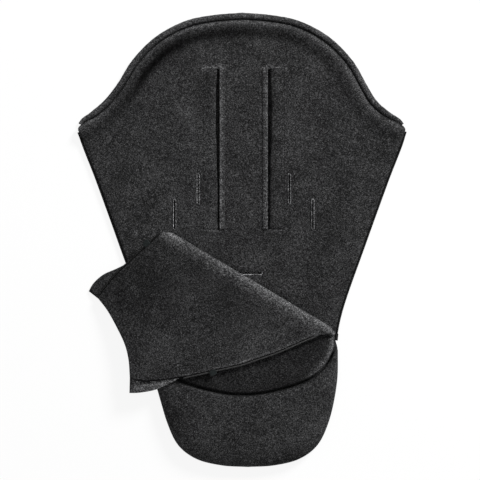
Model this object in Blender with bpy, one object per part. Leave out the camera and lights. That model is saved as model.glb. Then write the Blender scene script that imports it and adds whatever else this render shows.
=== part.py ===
# Stroller sleeping bag, lying open on its back with its front cover folded over to one side.
# X is across, +Y runs to the head, +Z is up from the surface it lies on. Units are metres.

import bpy
import numpy as np
from math import asin, cos, pi, radians, sin, sqrt
from mathutils import Matrix, Vector
from mathutils.geometry import delaunay_2d_cdt

MM = 0.001

# Driving sizes
LENGTH = 998 * MM
SHOULDER_WIDTH = 721 * MM
GAP = 0.3 * MM
SHELL_THICKNESS = 1.2 * MM
LINING_THICKNESS = 1.8 * MM
BACK_PADDING = 7.0 * MM
FRONT_PADDING = 7.0 * MM
COVER_PADDING = 5.0 * MM
POCKET_HOLLOW = 9.0 * MM
POCKET_ROLL = 45 * MM
FLAP_CLEARANCE = 5.0 * MM
FOLD_RADIUS = 10.5 * MM
ROLL_TIP_SHARE = 0.35
ROLL_STEPS = 7
ROLL_PLACE_SHARES = (0.006, 0.03, 0.06, 0.095, 0.15, 0.25, 0.4, 0.55, 0.7, 0.85, 0.96, 0.995)

# Edges of the padded layers
SEAM_ROOM = 0.7 * MM
WIDE_ROLL = 30 * MM
NARROW_ROLL = 14 * MM
LIP_ROLL = 9 * MM
PADDING_INSET = 13 * MM
RIM_INSET = 0.6 * MM
OUTLINE_STEP = 31 * MM
FILL_SPACING = 88 * MM
POINT_ROOM = 8 * MM
RING_ROOM = 2 * MM
SAME_POINT = 1e-7
INSET_SHARE = 0.93
RING_OFFSETS = (4 * MM, 12 * MM, 27 * MM)
SHORT_RINGS = (3 * MM, 10 * MM)
CURVE_STEPS = 12
FOOT_SWAY = 12 * MM
SWAY_TOP_SHARE = -0.2
SWAY_FOOT_SHARE = -0.38

# Right half of the back's outline, as shares of the length and of half the shoulder width
HOOD_SHARES = ((0.0, 0.5), (0.18, 0.4945), (0.345, 0.482), (0.53, 0.4465), (0.674, 0.394),
               (0.763, 0.341), (0.832, 0.306), (0.915, 0.28), (0.977, 0.264), (0.999, 0.247))
SIDE_SHARES = ((0.999, 0.247), (0.995, 0.228), (0.893, 0.129), (0.752, -0.012), (0.616, -0.153),
               (0.583, -0.206), (0.579, -0.226))
FOOT_SHARES = ((0.579, -0.226), (0.575, -0.255), (0.555, -0.312), (0.494, -0.4), (0.422, -0.453),
               (0.315, -0.482), (0.16, -0.4965), (0.0, -0.5))

# Hood casing
CASING_WIDTH = 15 * MM
CASING_HEIGHT = 7.6 * MM
CASING_CLEARANCE = 0.8 * MM
CASING_SEAT = 0.8 * MM
CASING_SIDES = 8
CASING_END = 3 * MM
CASING_TAPER = 60 * MM
CASING_TIP_SHARE = 0.5
CASING_TIP_LIFT = 2.4 * MM

# Slots for the harness and the belts
SLOT_CENTRE = 3 * MM
SLIT_OFFSET = 56 * MM
SLIT_TOP = 374 * MM
SLIT_LENGTH = 352 * MM
SLIT_WIDTH = 6 * MM
DOOR_WIDTH = 30 * MM
DOOR_CLEARANCE = 0.5 * MM
FACING_WIDTH = 12 * MM
FACING_THICKNESS = 1.2 * MM
INNER_SLOT = (100 * MM, 111 * MM)
OUTER_SLOT = (151.5 * MM, 55 * MM)
CROTCH_SLOT_Y = -74 * MM
BELT_SLOT_LENGTH = 62 * MM
CROTCH_SLOT_LENGTH = 75 * MM
SLOT_WIDTH = 6 * MM
BINDING_WALL = 1.5 * MM
BINDING_LIP = 2.6 * MM
BINDING_RISE = 1.0 * MM

# Front cover: fold line, seam to the pocket, zip edges and neckline, as shares like the outline's
FOLD_START_SHARES = (0.56, -0.2082)
FOLD_END_SHARES = (-0.4827, 0.015)
SEAM_SHARES = ((0.56, -0.2082), (0.56, -0.224), (0.545, -0.246), (0.505, -0.272), (0.438, -0.296),
               (0.34, -0.314), (0.139, -0.333), (0.007, -0.337), (-0.125, -0.333), (-0.326, -0.314),
               (-0.424, -0.296), (-0.491, -0.272), (-0.54, -0.246), (-0.56, -0.214))
LEFT_EDGE_SHARES = ((-0.56, -0.214), (-0.522, -0.1), (-0.4827, 0.015))
RIGHT_ZIP_SHARES = ((0.468, -0.203), (0.34, -0.223), (0.206, -0.244), (0.071, -0.2605),
                    (0.004, -0.269))
RIGHT_ZIP_END_SHARES = ((-0.362, -0.2985), (-0.43, -0.303), (-0.53, -0.307), (-0.624, -0.3075),
                        (-0.679, -0.301))
NECKLINE_SHARES = ((-0.679, -0.301), (-0.688, -0.261), (-0.71, -0.23), (-0.759, -0.193),
                   (-0.822, -0.154), (-0.877, -0.129))
LEFT_ZIP_SHARES = ((-0.877, -0.129), (-0.83, -0.106), (-0.755, -0.075), (-0.675, -0.048))
RIGHT_EAR_SHARES = ((-0.362, -0.2985), (-0.43, -0.312), (-0.521, -0.327), (-0.637, -0.3345),
                    (-0.682, -0.335))
LEFT_EAR_SHARES = ((-0.936, -0.114), (-0.911, -0.098), (-0.85, -0.078), (-0.759, -0.063),
                   (-0.675, -0.048))
SAG_START = 10 * MM
SAG_SHARES = (0, 1)
ROLL_SHARES = (0.25, 0.6, 1)
EAR_CLEARANCE = 1.2 * MM

# Zips
ZIP_REVEAL = 5.8 * MM
TAPE_INSIDE = 6 * MM
TAPE_OUTSIDE = 0.9 * MM
TAPE_THICKNESS = 0.8 * MM
TEETH_START = 1.5 * MM
TEETH_WIDTH = 4.0 * MM
TEETH_HEIGHT = 3.4 * MM
TOOTH_PITCH = 6.0 * MM
TOOTH_DEPTH = 2.0 * MM
TOOTH_TIP_SHARE = 0.42
ZIP_END = 9 * MM
STOP_LENGTH = 5 * MM
STOP_HEIGHT = 3.6 * MM
BOX_LENGTH = 15 * MM
BOX_END = 4 * MM
BOX_HEIGHT = 9 * MM
BOX_WIDTH = 5.0 * MM

# Sliders and pull tabs
SLIDER_LENGTH = 15 * MM
SLIDER_MOUTH = 12.6 * MM
SLIDER_TAIL = 10.4 * MM
SLIDER_PLATE = 1.5 * MM
SLIDER_CLEARANCE = 0.4 * MM
POST_WIDTH = 1.8 * MM
BRIDGE_SPAN = 6.4 * MM
BRIDGE_BAR = 1.2 * MM
BRIDGE_TOP = 1.0 * MM
PULL_THICKNESS = 1.4 * MM
PULL_EYE = 1.5 * MM
PULL_RING = 3.8 * MM
PULL_NECK = 3.6 * MM
PULL_WIDTH = 8.0 * MM
PULL_LENGTH = 25 * MM
PULL_SHOULDER = 8.4 * MM
PULL_CORNER = 1.6 * MM
RING_STEPS = 9
RIGHT_SLIDER_SHARE = 0.5
LEFT_SLIDER_SHARE = 0.56


# Plan geometry

def no_points():
    return np.zeros((0, 2))


def at(across_share, along_share):
    return np.array((across_share * SHOULDER_WIDTH / 2, along_share * LENGTH))


def swayed(point):
    """The foot end lies a little to the right of the centre line."""
    top = SWAY_TOP_SHARE * LENGTH
    foot = SWAY_FOOT_SHARE * LENGTH
    share = min(max((top - point[1]) / (top - foot), 0), 1)
    return point + np.array((FOOT_SWAY * share * share * (3 - 2 * share), 0))


def curve(points, step):
    """Evenly spaced points of a smooth line through the given points."""
    line = [np.asarray(p, float) for p in points]
    ends = [2 * line[0] - line[1]] + line + [2 * line[-1] - line[-2]]
    dense = [line[0]]
    for a, b, c, d in zip(ends, ends[1:], ends[2:], ends[3:]):
        before = sqrt(np.linalg.norm(b - a))
        during = sqrt(np.linalg.norm(c - b))
        after = sqrt(np.linalg.norm(d - c))
        leave = (b - a) / before - (c - a) / (before + during) + (c - b) / during
        arrive = (c - b) / during - (d - b) / (during + after) + (d - c) / after
        for share in np.linspace(0, 1, CURVE_STEPS + 1)[1:]:
            square, cube = share * share, share ** 3
            dense.append((2 * cube - 3 * square + 1) * b + (3 * square - 2 * cube) * c
                         + during * ((cube - 2 * square + share) * leave + (cube - square) * arrive))
    return spaced(np.array(dense), step)


def spaced(line, step):
    """The same line with equal steps."""
    run = lengths(line)
    places = np.linspace(0, run[-1], max(2, round(run[-1] / step) + 1))
    return np.column_stack([np.interp(places, run, line[:, i]) for i in range(2)])


def lengths(line):
    return np.concatenate(((0,), np.cumsum(np.linalg.norm(np.diff(line, axis=0), axis=1))))


def part_of(line, start, end):
    """The stretch of a line between two distances along it."""
    run = lengths(line)
    inner = [place for place in run if start + RING_ROOM < place < end - RING_ROOM]
    places = np.array([start, *inner, end])
    return np.column_stack([np.interp(places, run, line[:, i]) for i in range(2)])


def mirrored(line):
    return np.array(line)[::-1] * (-1, 1)


def joined(*lines):
    """One loop from lines that meet end to end."""
    return np.concatenate([line[:-1] for line in lines])


def normals(line, closed):
    """Unit vectors that point to the left of the line's direction."""
    if closed:
        ahead = np.roll(line, -1, axis=0) - np.roll(line, 1, axis=0)
    else:
        ahead = np.gradient(line, axis=0)
    ahead = ahead / np.linalg.norm(ahead, axis=1)[:, None]
    return np.column_stack((-ahead[:, 1], ahead[:, 0]))


def shifted(line, distance):
    """A line moved to its left."""
    return line + normals(line, False) * distance


def distances(points, line, closed=True):
    """Shortest distance from each point to a line."""
    points = np.atleast_2d(points)
    start = line if closed else line[:-1]
    end = np.roll(line, -1, axis=0) if closed else line[1:]
    along = end - start
    share = ((points[:, None] - start) * along).sum(2) / np.maximum((along * along).sum(1), GAP ** 4)
    nearest = start + np.clip(share, 0, 1)[:, :, None] * along
    return np.linalg.norm(points[:, None] - nearest, axis=2).min(1)


def inside(points, loop):
    points = np.atleast_2d(points)
    start, end = loop, np.roll(loop, -1, axis=0)
    above = (start[:, 1] > points[:, None, 1]) != (end[:, 1] > points[:, None, 1])
    rise = np.where(end[:, 1] == start[:, 1], 1, end[:, 1] - start[:, 1])
    cross = start[:, 0] + (points[:, None, 1] - start[:, 1]) * (end[:, 0] - start[:, 0]) / rise
    return ((above & (points[:, None, 0] < cross)).sum(1) % 2).astype(bool)


def inset(loop, amounts):
    """A loop moved inwards, by one amount or one for each of its points."""
    amounts = np.broadcast_to(np.asarray(amounts, float), (len(loop),))
    turn = np.sign((loop[:, 0] * np.roll(loop[:, 1], -1) - np.roll(loop[:, 0], -1) * loop[:, 1]).sum())
    moved = loop + normals(loop, True) * (amounts * turn)[:, None]
    kept = distances(moved, loop) >= amounts * INSET_SHARE
    return moved[kept & inside(moved, loop) | (amounts == 0)]


def smooth(share):
    share = np.clip(share, 0, 1)
    return share * share * (3 - 2 * share)


def crown(distance, width):
    """Height share of a rolled edge: a quarter of an ellipse."""
    share = 1 - np.clip(distance / width, 0, 1)
    return np.sqrt(1 - share * share)


# Solids

def volume(vertices, faces):
    """Signed: negative where the faces point inwards."""
    total = 0
    for face in faces:
        a = vertices[face[0]]
        for b, c in zip(face[1:], face[2:]):
            total += np.dot(a, np.cross(vertices[b], vertices[c]))
    return total


def add(name, vertices, faces, material, matrix=None):
    vertices = np.array(vertices, float)
    if volume(vertices, faces) < 0:
        faces = [face[::-1] for face in faces]
    mesh = bpy.data.meshes.new(name)
    mesh.from_pydata(vertices.tolist(), [], faces)
    mesh.validate()
    mesh.materials.append(material)
    mesh.shade_smooth()
    mesh.set_sharp_from_angle(angle=radians(40))
    part = bpy.data.objects.new(name, mesh)
    if matrix is not None:
        part.matrix_world = matrix
    bpy.context.scene.collection.objects.link(part)
    return part


def spread(outline, clear, contours, spacing):
    """Points along given contours and in rows, inside an outline and clear of other loops."""
    low, high = np.floor(outline.min(0) / spacing), np.ceil(outline.max(0) / spacing)
    across, along = np.meshgrid(np.arange(low[0], high[0]), np.arange(low[1], high[1]))
    grid = np.column_stack(((across + along % 2 / 2).ravel(), along.ravel())) * spacing
    kept = []
    for point in np.concatenate((contours, grid)):
        if not kept or np.linalg.norm(np.array(kept) - point, axis=1).min() > POINT_ROOM:
            kept.append(point)
    points = np.array(kept)
    points = points[inside(points, outline)]
    for loop in (outline, *clear):
        points = points[distances(points, loop) > POINT_ROOM]
    return points


def rim_points(outline, rings, core):
    """Rows of points along an edge, up to the loop that the padding ends on."""
    found = [no_points()]
    for offset in rings:
        row = inset(outline, offset)
        if len(core):
            row = row[~inside(row, core) & (distances(row, core) > RING_ROOM)]
        found.append(row)
    return np.concatenate(found)


def turns_left(plan, tri):
    a, b, c = (plan[i] for i in tri)
    return (b[0] - a[0]) * (c[1] - a[1]) > (b[1] - a[1]) * (c[0] - a[0])


def sheet(name, outline, under, over, material, holes=(), rings=(), loops=(), points=None):
    """A closed solid between two height fields, over a plan that follows some inner loops."""
    bounds = [outline, *holes, *loops]
    extra = rim_points(outline, rings, loops[0] if len(loops) else no_points())
    points = no_points() if points is None else points
    ids, first = [], 0
    for loop in bounds:
        ids.append(list(range(first, first + len(loop))))
        first += len(loop)
    found = [Vector(point) for point in np.concatenate((*bounds, extra, points))]
    flat, _, tris, _, _, _ = delaunay_2d_cdt(found, [], ids, 1, SAME_POINT)
    plan = np.array([point[:] for point in flat])
    for hole in holes:
        in_hole = inside(plan[np.array(tris)].mean(1), hole)
        tris = [tri for tri, out in zip(tris, in_hole) if not out]
    used = sorted({i for tri in tris for i in tri})
    place = {old: new for new, old in enumerate(used)}
    plan = plan[used]
    tris = [tuple(place[i] for i in tri) for tri in tris]
    tris = [tri if turns_left(plan, tri) else tri[::-1] for tri in tris]
    count = len(plan)
    low = np.column_stack((plan, under(plan)))
    high = np.column_stack((plan, over(plan)))
    edges = {(a, b) for tri in tris for a, b in zip(tri, tri[1:] + tri[:1])}
    faces = [tuple(i + count for i in tri) for tri in tris]
    faces += [tri[::-1] for tri in tris]
    faces += [(a, b, b + count, a + count) for a, b in sorted(edges) if (b, a) not in edges]
    return add(name, np.concatenate((low, high)), faces, material)


def loft(name, sections, material, matrix=None):
    """A closed solid through sections with equal numbers of points, capped at both ends."""
    size = len(sections[0])
    vertices = [point for section in sections for point in section]
    faces = [tuple(range(size))[::-1]]
    for row in range(len(sections) - 1):
        for i in range(size):
            j = (i + 1) % size
            a, b = row * size, (row + 1) * size
            faces.append((a + i, a + j, b + j, b + i))
    faces.append(tuple(range(len(vertices) - size, len(vertices))))
    return add(name, vertices, faces, material, matrix)


def prism(name, outline, low, high, material, matrix=None):
    """A flat outline, counted anticlockwise, made solid between two heights."""
    sections = [[(x, y, z) for x, y in outline] for z in (low, high)]
    return loft(name, sections, material, matrix)


def material(name, colour, roughness, metallic=0.0):
    made = bpy.data.materials.new(name)
    made.use_nodes = True
    made.diffuse_color = (*colour, 1)
    shader = made.node_tree.nodes["Principled BSDF"]
    shader.inputs["Base Color"].default_value = (*colour, 1)
    shader.inputs["Roughness"].default_value = roughness
    shader.inputs["Metallic"].default_value = metallic
    return made


class Quilt:
    """Heights of two fabric layers and the padding between them, over a supporting surface."""

    def __init__(self, base, padding, lower, upper, lower_edge, upper_edge, seam_rise,
                 lower_room=SEAM_ROOM, upper_room=SEAM_ROOM, lower_roll=NARROW_ROLL,
                 upper_roll=WIDE_ROLL):
        self.base = base
        self.lower, self.upper = lower, upper
        self.full = lower + GAP + padding + GAP + upper
        self.lower_edge, self.upper_edge = lower_edge, upper_edge
        self.seam_rise = seam_rise
        self.lower_room, self.upper_room = lower_room, upper_room
        self.lower_roll, self.upper_roll = lower_roll, upper_roll

    def middle(self, p):
        """Height of the seam, where the zip tape lies."""
        return self.base(p) + self.seam_rise

    def lower_over(self, p):
        share = crown(self.lower_edge(p), self.lower_roll)
        edge = self.seam_rise - self.lower_room
        return self.base(p) + edge * (1 - share) + self.lower * share

    def upper_under(self, p):
        share = crown(self.upper_edge(p), self.upper_roll)
        edge = self.seam_rise + self.upper_room
        return self.base(p) + edge * (1 - share) + (self.full - self.upper) * share

    def lower_under(self, p):
        return self.lower_over(p) - self.lower

    def upper_over(self, p):
        return self.upper_under(p) + self.upper

    def padding_under(self, p):
        return self.lower_over(p) + GAP

    def padding_over(self, p):
        return self.upper_under(p) - GAP


# The back's outline

hood_right = curve([at(*share) for share in HOOD_SHARES], OUTLINE_STEP)
side_right = curve([at(*share) for share in SIDE_SHARES], OUTLINE_STEP)
foot_right = curve([swayed(at(*share)) for share in FOOT_SHARES], OUTLINE_STEP)
hood_left = mirrored(hood_right)
side_left = mirrored(side_right)
foot_left = mirrored(curve([at(*share) for share in FOOT_SHARES], OUTLINE_STEP))
foot_left = np.array([swayed(point) for point in foot_left])
silhouette = joined(hood_right, side_right, foot_right, foot_left, side_left, hood_left)
counts = [len(line) - 1 for line in (hood_right, side_right, foot_right, foot_left, side_left, hood_left)]


def edge_insets(hood, side, foot):
    """One inset for each point of the outline."""
    values = (hood, side, foot, foot, side, hood)
    amounts = np.concatenate([np.full(count, value) for count, value in zip(counts, values)])
    starts = np.cumsum((0, *counts))
    for corner in (starts[1], starts[5]):
        amounts[corner] = (hood + side) / 2
    for corner in (starts[2], starts[4]):
        amounts[corner] = side
    return amounts


shell_outline = inset(silhouette, edge_insets(RIM_INSET, ZIP_REVEAL, RIM_INSET))
lining_outline = inset(silhouette, edge_insets(CASING_WIDTH + CASING_CLEARANCE, ZIP_REVEAL, RIM_INSET))
padding_outline = inset(lining_outline, PADDING_INSET)[::2]


def flat_base(p):
    return np.zeros(len(np.atleast_2d(p)))


back = Quilt(flat_base, BACK_PADDING, SHELL_THICKNESS, LINING_THICKNESS,
             lambda p: distances(p, shell_outline), lambda p: distances(p, lining_outline),
             (SHELL_THICKNESS + GAP + BACK_PADDING + GAP + LINING_THICKNESS) / 2)
back_top = back.full


def pocket_base(p):
    """The surface that the pocket's front and the cover are laid over."""
    edge = np.where(inside(p, lining_outline), distances(p, lining_outline), 0)
    return back.upper_over(p) + GAP + POCKET_HOLLOW * crown(edge, POCKET_ROLL)


# Slots

def stadium(centre, length, width, upright, turns=3):
    """A slot's outline, counted anticlockwise."""
    points = []
    for end in (1, -1):
        for i in range(turns + 1):
            angle = (0 if end > 0 else pi) + pi * i / turns
            x = width / 2 * cos(angle)
            y = width / 2 * sin(angle) + end * (length - width) / 2
            points.append((x, y) if upright else (-y, x))
    return np.array(points) + centre


def box_loop(low, high):
    return np.array(((low[0], low[1]), (high[0], low[1]), (high[0], high[1]), (low[0], high[1])))


belt_slots = {
    "belt_slot_binding_inner_left": ((SLOT_CENTRE - INNER_SLOT[0], INNER_SLOT[1]), BELT_SLOT_LENGTH, True),
    "belt_slot_binding_inner_right": ((SLOT_CENTRE + INNER_SLOT[0], INNER_SLOT[1]), BELT_SLOT_LENGTH, True),
    "belt_slot_binding_outer_left": ((SLOT_CENTRE - OUTER_SLOT[0], OUTER_SLOT[1]), BELT_SLOT_LENGTH, True),
    "belt_slot_binding_outer_right": ((SLOT_CENTRE + OUTER_SLOT[0], OUTER_SLOT[1]), BELT_SLOT_LENGTH, True),
    "crotch_slot_binding": ((SLOT_CENTRE, CROTCH_SLOT_Y), CROTCH_SLOT_LENGTH, False),
}


def slot_holes():
    grow = 2 * (BINDING_WALL + GAP)
    return [stadium(np.array(centre), length + grow, SLOT_WIDTH + grow, upright)
            for centre, length, upright in belt_slots.values()]


def slit_inner_x(side):
    return SLOT_CENTRE + side * (SLIT_OFFSET - SLIT_WIDTH / 2)


def door_hinge_x(side):
    return SLOT_CENTRE + side * (SLIT_OFFSET + SLIT_WIDTH / 2 + DOOR_WIDTH)


def door_hole(side):
    """The opening in the back that a slit and its padded flap share."""
    inner = slit_inner_x(side)
    outer = door_hinge_x(side) + side * DOOR_CLEARANCE
    low = (min(inner, outer), SLIT_TOP - SLIT_LENGTH - DOOR_CLEARANCE)
    high = (max(inner, outer), SLIT_TOP + DOOR_CLEARANCE)
    return box_loop(low, high)


def build_back(felt_shell, felt_lining, wadding):
    holes = slot_holes() + [door_hole(-1), door_hole(1)]
    grown = [grown_hole(hole, GAP) for hole in holes]
    level_loop = inset(lining_outline, WIDE_ROLL + PADDING_INSET / 2)[::2]
    points = spread(level_loop, holes, no_points(), 2 * FILL_SPACING)
    loops = (padding_outline, level_loop)
    sheet("back_shell", shell_outline, back.lower_under, back.lower_over, felt_shell, holes,
          SHORT_RINGS, loops, points)
    sheet("back_padding", padding_outline, back.padding_under, back.padding_over, wadding, grown,
          (), loops[1:], points)
    sheet("back_lining", lining_outline, back.upper_under, back.upper_over, felt_lining, holes,
          RING_OFFSETS, loops, points)


def grown_hole(hole, amount):
    """A hole made a little larger, for the layer that is cut back behind the others."""
    away = hole - hole.mean(0)
    return hole + np.sign(np.round(away, 6)) * amount


def build_bindings(binding):
    """Bound slot edges: a wall through the layers and a narrow lip on the lining."""
    for name, (centre, length, upright) in belt_slots.items():
        centre = np.array(centre)
        top = back_top + BINDING_RISE
        rows = ((0, GAP), (2 * BINDING_WALL, GAP), (2 * BINDING_WALL, back_top + GAP),
                (2 * BINDING_LIP, back_top + GAP), (2 * BINDING_LIP, top), (0, top))
        rings = []
        for grow, z in rows:
            loop = stadium(centre, length + grow, SLOT_WIDTH + grow, upright)
            rings.append([(x, y, z) for x, y in loop])
        ring_solid(name, rings, binding)


def ring_solid(name, rings, material):
    """A closed ring from loops that follow each other round its section."""
    size = len(rings[0])
    vertices = [point for ring in rings for point in ring]
    faces = []
    for row in range(len(rings)):
        after = (row + 1) % len(rings)
        for i in range(size):
            j = (i + 1) % size
            faces.append((row * size + i, row * size + j, after * size + j, after * size + i))
    return add(name, vertices, faces, material)


def build_doors(felt_shell, felt_lining, wadding):
    """The padded flaps beside the harness slits, with their origin on the seam they turn on."""
    for side, word in ((-1, "left"), (1, "right")):
        hinge = door_hinge_x(side)
        free = hinge - side * DOOR_WIDTH
        middle = SLIT_TOP - SLIT_LENGTH / 2
        seam = (hinge, middle, back_top)

        def layer(name, low, high, made, cut=0.0):
            part_low = (min(hinge, free) + cut - seam[0], SLIT_TOP - SLIT_LENGTH + cut - seam[1])
            part_high = (max(hinge, free) - cut - seam[0], SLIT_TOP - cut - seam[1])
            outline = box_loop(part_low, part_high)
            prism(f"harness_flap_{name}_{word}", outline, low - seam[2], high - seam[2], made,
                  Matrix.Translation(seam))

        layer("shell", 0, SHELL_THICKNESS, felt_shell)
        layer("padding", SHELL_THICKNESS + GAP, SHELL_THICKNESS + GAP + BACK_PADDING, wadding,
              SHELL_THICKNESS)
        layer("lining", back_top - LINING_THICKNESS, back_top, felt_lining)


def build_facings(binding):
    """The lighter strip along the inner side of each harness slit, rounded along its edges."""
    for side, word in ((-1, "left"), (1, "right")):
        start = slit_inner_x(side)
        round_off = FACING_THICKNESS / 2
        low, high = back_top + GAP, back_top + GAP + FACING_THICKNESS
        profile = [(0, low), (FACING_WIDTH, low), (FACING_WIDTH, low + round_off),
                   (FACING_WIDTH - round_off, high), (round_off, high), (0, low + round_off)]
        if side > 0:
            profile = [(-x, z) for x, z in profile][::-1]
        sections = [[(start + x, y, z) for x, z in profile] for y in (SLIT_TOP, SLIT_TOP - SLIT_LENGTH)]
        loft(f"harness_slit_facing_{word}", sections, binding)


def build_casing(felt_shell):
    """The tube that runs along the hood from shoulder to shoulder and rests on the shell."""
    rim = shifted(np.concatenate((hood_left[:-1], hood_right)), -RIM_INSET)
    run = lengths(rim)[-1]
    path = part_of(rim, CASING_END, run - CASING_END)
    sections = []
    for point, out, place in zip(path, normals(path, False), lengths(path)):
        full = float(smooth(min(place, run - 2 * CASING_END - place) / CASING_TAPER))
        share = CASING_TIP_SHARE + (1 - CASING_TIP_SHARE) * full
        half, rise = share * CASING_WIDTH / 2, share * CASING_HEIGHT / 2
        angles = 2 * pi * np.arange(CASING_SIDES) / CASING_SIDES
        plan = point + out * (half * (np.cos(angles) - 1))[:, None]
        heights = rise * np.sin(angles)
        below = heights < 0
        centre = (back.lower_over(plan[below]) - heights[below]).max() + CASING_SEAT
        centre += (1 - full) * CASING_TIP_LIFT
        sections.append([(x, y, centre + z) for (x, y), z in zip(plan, heights)])
    loft("hood_casing", sections, felt_shell)


# The foot pocket and the cover

fold_start = at(*FOLD_START_SHARES)
fold_end = at(*FOLD_END_SHARES)
fold_run = (fold_end - fold_start) / np.linalg.norm(fold_end - fold_start)
fold_out = np.array((fold_run[1], -fold_run[0]))
seam_line = curve([at(*share) for share in SEAM_SHARES], OUTLINE_STEP)
left_edge = curve([at(*share) for share in LEFT_EDGE_SHARES], OUTLINE_STEP)
right_zip_start = curve([at(*share) for share in RIGHT_ZIP_SHARES], OUTLINE_STEP)
right_zip_end = curve([at(*share) for share in RIGHT_ZIP_END_SHARES], OUTLINE_STEP)
right_straight = spaced(np.array((right_zip_start[-1], right_zip_end[0])), OUTLINE_STEP)
right_zip = np.concatenate((right_zip_start[:-1], right_straight[:-1], right_zip_end))
neckline = curve([at(*share) for share in NECKLINE_SHARES], OUTLINE_STEP)
left_zip_start = curve([at(*share) for share in LEFT_ZIP_SHARES], OUTLINE_STEP)
overhang_normal = normals(np.array((left_edge[0], left_edge[-1])), False)[0]
left_reach = (left_zip_start[-1] - fold_end) @ overhang_normal
left_bend = fold_end + (left_zip_start[-1] - fold_end) * (SAG_START / left_reach)
left_level = spaced(np.array((left_zip_start[-1], left_bend)), OUTLINE_STEP)
left_straight = np.concatenate((left_level, fold_end[None]))
left_zip = np.concatenate((left_zip_start[:-1], left_straight))
right_ear = curve([at(*share) for share in RIGHT_EAR_SHARES], OUTLINE_STEP)
left_ear = curve([at(*share) for share in LEFT_EAR_SHARES], OUTLINE_STEP)
flap_corner = fold_start + fold_run * ((right_zip[0] - fold_start) @ fold_run)
flap_fold = spaced(np.array((fold_end, flap_corner)), OUTLINE_STEP)
base_fold = spaced(np.array((fold_end, fold_start)), OUTLINE_STEP)


def pocket_loop():
    """The pocket's front: the cover's seam above, the foot's rim below."""
    top = shifted(seam_line, 2 * GAP)
    top = top[top[:, 1] < seam_line[0][1] - OUTLINE_STEP]
    rim = inset(silhouette, RIM_INSET)
    return np.concatenate((rim[rim[:, 1] < top[:, 1].max()], top[::-1]))


pocket_outline = pocket_loop()
front = Quilt(pocket_base, FRONT_PADDING, LINING_THICKNESS, SHELL_THICKNESS,
              lambda p: distances(p, pocket_outline), lambda p: distances(p, pocket_outline),
              LINING_THICKNESS + SEAM_ROOM)

cover_outline = joined(seam_line, left_edge, base_fold)
cover_seams = np.concatenate((seam_line, left_edge[1:]))
cover = Quilt(pocket_base, COVER_PADDING, LINING_THICKNESS, SHELL_THICKNESS,
              lambda p: distances(p, cover_seams, False), lambda p: distances(p, cover_seams, False),
              LINING_THICKNESS + 2 * SEAM_ROOM, lower_room=2 * SEAM_ROOM, upper_roll=LIP_ROLL)

cover_top = back_top + GAP + POCKET_HOLLOW + cover.full
flap_height = cover_top + FLAP_CLEARANCE
fold_height = cover_top + FLAP_CLEARANCE / 2


def overhang(p):
    """How far a point lies beyond the left edge of the cover's lower layer."""
    return np.maximum((np.atleast_2d(p) - fold_end) @ overhang_normal, 0)


def sag_shape(distance):
    return np.where(distance < SAG_START, distance * distance / (2 * SAG_START), distance - SAG_START / 2)


sag_slope = (flap_height - EAR_CLEARANCE) / sag_shape(overhang(left_ear[:1]))[0]


def flap_base(p):
    """The folded layer lies level on the lower one and droops to the floor beyond it."""
    return flap_height - sag_slope * sag_shape(overhang(p))


flap_lining_outline = joined(right_zip, neckline, left_zip, flap_fold)
flap_lining_outline = np.concatenate((flap_lining_outline, flap_fold[-1:]))
flap_lining_seams = np.concatenate((right_zip, neckline[1:], left_zip[1:]))
flap_shell_seams = np.concatenate((right_zip_start[:-1], right_straight[:-1], right_ear, neckline[1:-1],
                                   left_ear, left_straight[1:]))
flap_shell_outline = np.concatenate((flap_shell_seams, flap_fold[1:]))
teeth_room = TEETH_HEIGHT / 2 + GAP
flap = Quilt(flap_base, COVER_PADDING, SHELL_THICKNESS, LINING_THICKNESS,
             lambda p: distances(p, flap_shell_seams, False),
             lambda p: distances(p, flap_lining_seams, False),
             SHELL_THICKNESS + teeth_room + GAP, lower_room=teeth_room + GAP / 2)


def build_quilt(names, quilt, outlines, fabrics, rings, contours):
    """Two fabric layers and the padding between them, over one plan so that they never cross."""
    lower, core, upper = outlines
    points = spread(core, (), contours, FILL_SPACING)
    sheet(names[0], lower, quilt.lower_under, quilt.lower_over, fabrics[0], (), rings[0], (core,), points)
    sheet(names[1], core, quilt.padding_under, quilt.padding_over, fabrics[1], (), (), (), points)
    sheet(names[2], upper, quilt.upper_under, quilt.upper_over, fabrics[2], (), rings[1], (core,), points)


def build_pocket_and_cover(felt_shell, felt_lining, wadding):
    fabrics = (felt_lining, wadding, felt_shell)
    contours = np.concatenate([inset(lining_outline, POCKET_ROLL * share) for share in ROLL_SHARES])
    build_quilt(("foot_front_lining", "foot_front_padding", "foot_front_shell"), front,
                (pocket_outline, inset(pocket_outline, PADDING_INSET), pocket_outline), fabrics,
                (SHORT_RINGS, SHORT_RINGS), contours)
    build_quilt(("cover_base_lining", "cover_base_padding", "cover_base_shell"), cover,
                (cover_outline, inset(cover_outline, PADDING_INSET), cover_outline), fabrics,
                (SHORT_RINGS, SHORT_RINGS), contours)


def build_flap(felt_shell, felt_lining, wadding):
    """The cover's upper part, folded over."""
    edge = spaced(np.array((fold_end, 2 * left_edge[0] - fold_end)), OUTLINE_STEP)
    contours = np.concatenate([edge + overhang_normal * SAG_START * share for share in SAG_SHARES])
    build_quilt(("cover_flap_shell", "cover_flap_padding", "cover_flap_lining"), flap,
                (flap_shell_outline, inset(flap_lining_outline, PADDING_INSET), flap_lining_outline),
                (felt_shell, wadding, felt_lining), (SHORT_RINGS, SHORT_RINGS), contours)


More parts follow.
